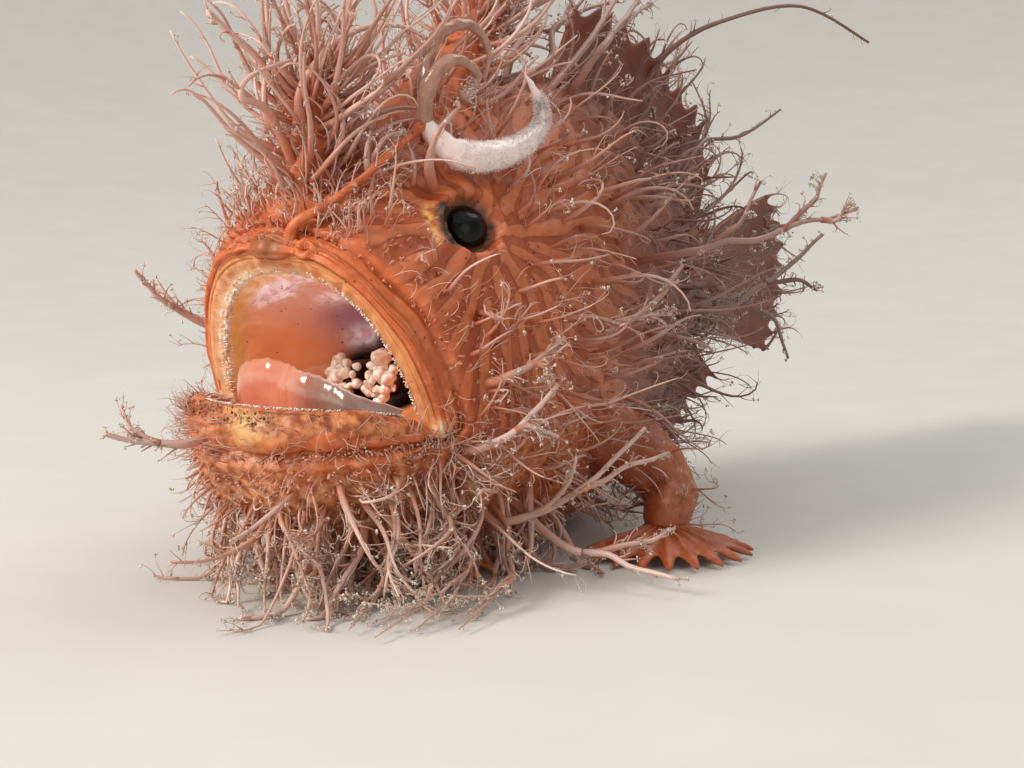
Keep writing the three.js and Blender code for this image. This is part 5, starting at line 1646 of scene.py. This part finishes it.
# name, solid, wrist, number of fingers, the degrees that they fan over, and their length
HANDS = (
    ("hand", "pectoral_fin", (24, 33.5, 3.0), 10, (-125, 35), 11.0),
    ("foot", "pelvic_fin", (6.5, 9.5, 3.4), 5, (-75, 15), 9.5),
)
arms = []
for side, letter in ((1, "l"), (-1, "r")):
    mirror = np.array([side, 1, 1])
    nodes = (f"pectoral_arm_{letter}",)
    arm = (ARM * mirror, ARM_RADII, 48, 70, ARM_LUMPS)
    _, *arm = fleshy_tube(f"arm_{letter}", *arm, fish_skin, "fins_paired", nodes)
    arms.append(arm)
    for name, node, wrist, count, fan, length in HANDS:
        angles = np.radians(np.linspace(*fan, count))
        across = np.stack([np.cos(angles), np.sin(angles), angles * 0], -1)
        tips = wrist + across * length
        tips[:, 2] = FINGERTIP_HEIGHT
        roots = wrist + across * 0.9
        fingers = rays(roots * mirror, tips * mirror, (0, 0, wrist[2] * 0.22))
        fin_piece(f"{name}_{letter}", fingers, FINGERS, 0.3, "fins_paired", (f"{node}_{letter}",))

# %% Filaments of arms and fins
arm_coat = Coat("coat_arms", "fins_paired")
draw = np.random.default_rng(402)
for line, thick in arms:
    for count, length, radius, growth in (
        (34, (3, 8), (0.14, 0.3), {"twigs": 4}),
        (90, (1.5, 4), (0.05, 0.1), THREAD),
        (160, (0.4, 0.9), (0.1, 0.24), WART),
    ):
        roots, normals, spots = stalk_roots(line, thick, count, (0.3, 0.88), draw)
        add_stems(arm_coat, roots, normals, spots, (0, 0.5, -0.2), length, radius, draw, **growth)
arm_coat.make(filament_flesh)

fin_coat = Coat("coat_fins", "fins_median")
draw = np.random.default_rng(401)
for _, fin_rays, _, count, length in MEDIAN_FINS:
    pick = draw.integers(0, len(fin_rays[0]), count)
    share = draw.uniform(0.55, 1.0, count)[:, None]
    picked = [p[pick] for p in fin_rays]
    ahead = unit(picked[2] - picked[1])
    spots = np.stack([pick / DORSAL_RAYS, share[:, 0]], -1) * UNWRAP_REACH
    roots = bent_line(*picked, share)
    add_stems(fin_coat, roots, ahead, spots, (0, 0.6, 0.2), length, (0.22, 0.42), draw, twigs=4)
fin_coat.make(filament_flesh)

# %% [markdown]
# ## Inside the mouth
# The gape shows rows of tiny pale teeth on the rim, a thin flap of skin behind the lower jaw that
# closes the mouth when the fish breathes, the low tongue, and two plates of white knobs in the throat.

# %% Finishes of the mouth
FLESH_CLOUD = 2.5
TOOTH_STAIN = 0.9


def paint_mouth(tree):
    """Orange-pink flesh, turned greyish on the valve's left half by painted shade, with a painted highlight
    along the free edge there
    """
    place = add_node(tree, "ShaderNodeTexCoord").outputs["Object"]
    inputs = {"Vector": place, "Scale": 1 / (FLESH_CLOUD * MM), "Detail": 3.0}
    cloud = (add_node(tree, "ShaderNodeTexNoise", inputs).outputs["Fac"],)
    in_painted_shade = (add_node(tree, "ShaderNodeAttribute", attribute_name="painted_shade_grey").outputs["Fac"],)
    along = add_node(tree, "ShaderNodeAttribute", attribute_name="along").outputs["Fac"]
    flesh = [(FULL, cloud, "#b5684a", "#d6947a"), (in_painted_shade, cloud, "#6c574c", "#958174")]
    flesh = lay_pigments(tree, flesh)
    # painted highlight along the free edge of the shaded half
    edge = lay_pigments(tree, [(in_painted_shade, cloud, "#d9b3a6", "#f2e2dc")], flesh)
    return {"Base Color": lay_pigments(tree, [((along, 0.93, 1.0), EVEN, edge)], flesh)}


def paint_enamel(tree):
    """Ivory with faint stains, and painted shade: the largest knob, which the other knobs stand on, is dark
    as the hollow among them
    """
    place = add_node(tree, "ShaderNodeTexCoord").outputs["Object"]
    inputs = {"Vector": place, "Scale": 1 / (TOOTH_STAIN * MM), "Detail": 3.0}
    stain = add_node(tree, "ShaderNodeTexNoise", inputs).outputs["Fac"]
    tone = add_node(tree, "ShaderNodeAttribute", attribute_name="tone").outputs["Fac"]
    pigments = [
        (FULL, (stain, 0.35, 0.6), "#d8bda4", "#fffaf0"),
        ((tone, 1.2, 1.8), EVEN, "#3a1810"),
    ]
    return {"Base Color": lay_pigments(tree, pigments)}


# flesh without a horny layer: light spreads far in it, and spit covers it like a coat of varnish
mouth_flesh = new_finish(
    "wet translucent mouth lining",
    paint_mouth,
    Roughness=0.16,
    Subsurface_Weight=0.5,
    Subsurface_Radius=(1.0, 0.4, 0.3),
    Subsurface_Scale=1.2 * MM,
    Coat_Weight=0.6,
    Coat_Roughness=0.05,
)
# dense mineral that lets light in only a little way, wet but worn to a soft shine
tooth_enamel = new_finish(
    "ivory tooth enamel",
    paint_enamel,
    Roughness=0.22,
    Subsurface_Weight=0.3,
    Subsurface_Radius=(1.0, 0.8, 0.6),
    Subsurface_Scale=0.5 * MM,
)

# %% Teeth of the jaws
GAPE_CENTRE = np.array([0.0, -4.0, 25.0])
TOOTH_RINGS = 5

teeth = Coat("teeth", "teeth")
draw = np.random.default_rng(501)
t = np.linspace(-0.4, 1, TOOTH_RINGS)[:, None]
for share, count, length in ((0.35, 130, 0.2), (0.55, 150, 0.26), (0.75, 160, 0.32), (0.95, 160, 0.38)):
    degrees = np.concatenate([np.linspace(8, 172, count), np.linspace(200, 340, count)])
    angles = np.radians(degrees + draw.normal(0, 0.7, len(degrees)))
    roots = lip_point(share, angles)
    inward = unit(unit(GAPE_CENTRE - roots) + (0, 0.7, 0) + draw.normal(0, 0.22, size=roots.shape))
    sizes = length * draw.uniform(0.7, 1.25, len(angles))
    lines = roots[:, None] + inward[:, None] * t * sizes[:, None, None]
    # each tooth curves back into the mouth
    lines[..., 1] += t[:, 0] ** 2 * 0.2
    radii = np.linspace(0.1, 0.03, TOOTH_RINGS) * draw.uniform(0.8, 1.2, len(angles))[:, None]
    teeth.add_tubes(lines, radii, 6, roots, unwrap_spots(0.3, angles), draw.uniform(size=len(angles)))
teeth.make(tooth_enamel)

# %% Flap of skin behind the lower jaw, and the tongue
VALVE_EDGE = (
    (-13.7, 2.4, 22.4),
    (-9.6, -3.2, 24.0),
    (-5, -5.2, 25.5),
    (-0.4, -6.2, 25.4),
    (3.5, -6.9, 24.9),
    (6.3, -7.0, 24.1),
    (9.5, -5.5, 22.8),
    (13.2, -2.4, 20.9),
)
VALVE_RAYS = 19
VALVE_HALVES = (0.2, 0.14)
TONGUE = [[-8.6, -4.5, 14.6], [-5, -5.6, 15.4], [0, -6.4, 15.6], [5, -5.6, 15.4], [8.6, -4.5, 14.6]]
TONGUE_RADII = [1.2, 3.4, 4.0, 3.4, 1.2]
TONGUE_LUMPS = ((0.5, 3.0), (0.2, 1.2))

edge = smooth_path(VALVE_EDGE, VALVE_RAYS)
edge[:, 2] += 0.07 * np.sin(np.arange(VALVE_RAYS) * 2.3)
edge[:, 1] += 0.5 * np.sin(np.arange(VALVE_RAYS) * 1.1)
valve_rays = rays(edge * (0.98, 1, 0) + (0, 1.0, 16.0), edge, (0, -2.4, 1.6))
valve = fin_piece("valve_lower", valve_rays, VALVE_HALVES, 0.02, "mouth_lining", (), mouth_flesh)
# painted shade: the valve turns greyish towards the fish's left side
leftward = np.array([v.co.x for v in valve.data.vertices]) / MM
set_values(valve, "painted_shade_grey", smooth_step(0.5, 8.0, leftward))
tongue = (TONGUE, TONGUE_RADII, 40, 60, TONGUE_LUMPS)
fleshy_tube("tongue_pad", *tongue, mouth_flesh, "mouth_lining", ("tongue",))

# %% Knobs of the throat
KNOBS = 17
KNOB_RINGS = 13
SPIRAL = 2.4  # the angle from one knob to the next

for side, letter in ((1, "l"), (-1, "r")):
    draw = np.random.default_rng(510 + side)
    middle = np.array([2.7 * side - 1.4, 9.4, 21.7])
    spin = np.arange(KNOBS) * SPIRAL
    reach = np.sqrt(np.arange(KNOBS) / KNOBS)
    dome = -1.9 * np.sqrt(1 - reach**2 * 0.85)
    centres = middle + np.stack([np.cos(spin) * reach * 2.2, dome, np.sin(spin) * reach * 2.4], -1)
    sizes = draw.uniform(0.35, 0.9, KNOBS)
    axis = unit(centres - middle - (0, 1.9, 0) + draw.normal(0, 0.6, size=(KNOBS, 3)))
    # a soft white lump sits above each plate, and the last and largest knob is the plate itself, painted dark
    # as shade
    centres[0] = middle + (0.4 * side, -1.4, 2.6 + 0.3 * side)
    sizes[0] = 0.85 + 0.25 * side
    centres = np.concatenate([centres, [middle + (0, 0.5, 0)]])
    sizes = np.append(sizes, 1.9)
    axis = np.concatenate([axis, [[0, -1, 0]]])
    t = np.cos(np.linspace(math.pi, 0, KNOB_RINGS) * 0.96 + 0.06)
    lines = centres[:, None] + axis[:, None] * (t * 1.25)[:, None] * sizes[:, None, None]
    radii = np.sqrt(np.maximum(1 - t**2, 0.01)) * sizes[:, None]
    spots = np.stack([np.arange(KNOBS + 1) / (KNOBS + 1), np.full(KNOBS + 1, 0.5)], -1)
    # a tone of 2 paints the largest knob dark, as painted shade
    tone = np.append(draw.uniform(size=KNOBS), 2.0)
    plate = Coat(f"throat_knobs_{letter}", "teeth", (f"throat_teeth_{letter}",))
    plate.add_tubes(lines, radii, 16, centres, spots, tone)
    plate.roughen(0.22, 0.7)
    plate.make(tooth_enamel)

# %% [markdown]
# ## Fur of the lure
# Short hairs cover the lure's sickle like velvet, so that its edge looks soft against the light.
# They are far too many to place by hand, and each needs only a few faces.

# %% Velvet on the lure
HAIR_RINGS = 4
HAIR_ROOT = 0.25  # how far each hair reaches into the flesh

lure_fur = Coat("lure_fur", "lure_flesh")
draw = np.random.default_rng(601)
t = np.linspace(0, 1, HAIR_RINGS)[:, None]
for name, count, shares, length in (
    ("sickle", 2800, (0.2, 0.88), (0.12, 0.3)),
    ("inner_curl", 90, (0.86, 0.99), (0.1, 0.22)),
):
    roots, normals, spots = stalk_roots(*lobes[name], count, shares, draw)
    sizes = draw.uniform(*length, count)
    heading = unit(normals + draw.normal(0, 0.4, size=normals.shape))
    lines = roots[:, None] + heading[:, None] * t * (sizes + HAIR_ROOT)[:, None, None]
    lines = lines + draw.normal(0, 0.04, size=lines.shape)
    radii = np.linspace(0.06, 0.025, HAIR_RINGS) * np.ones((count, 1))
    lure_fur.add_tubes(lines, radii, 3, roots, spots, draw.uniform(size=count))
set_values(lure_fur.make(lure_flesh), "brown", 0)
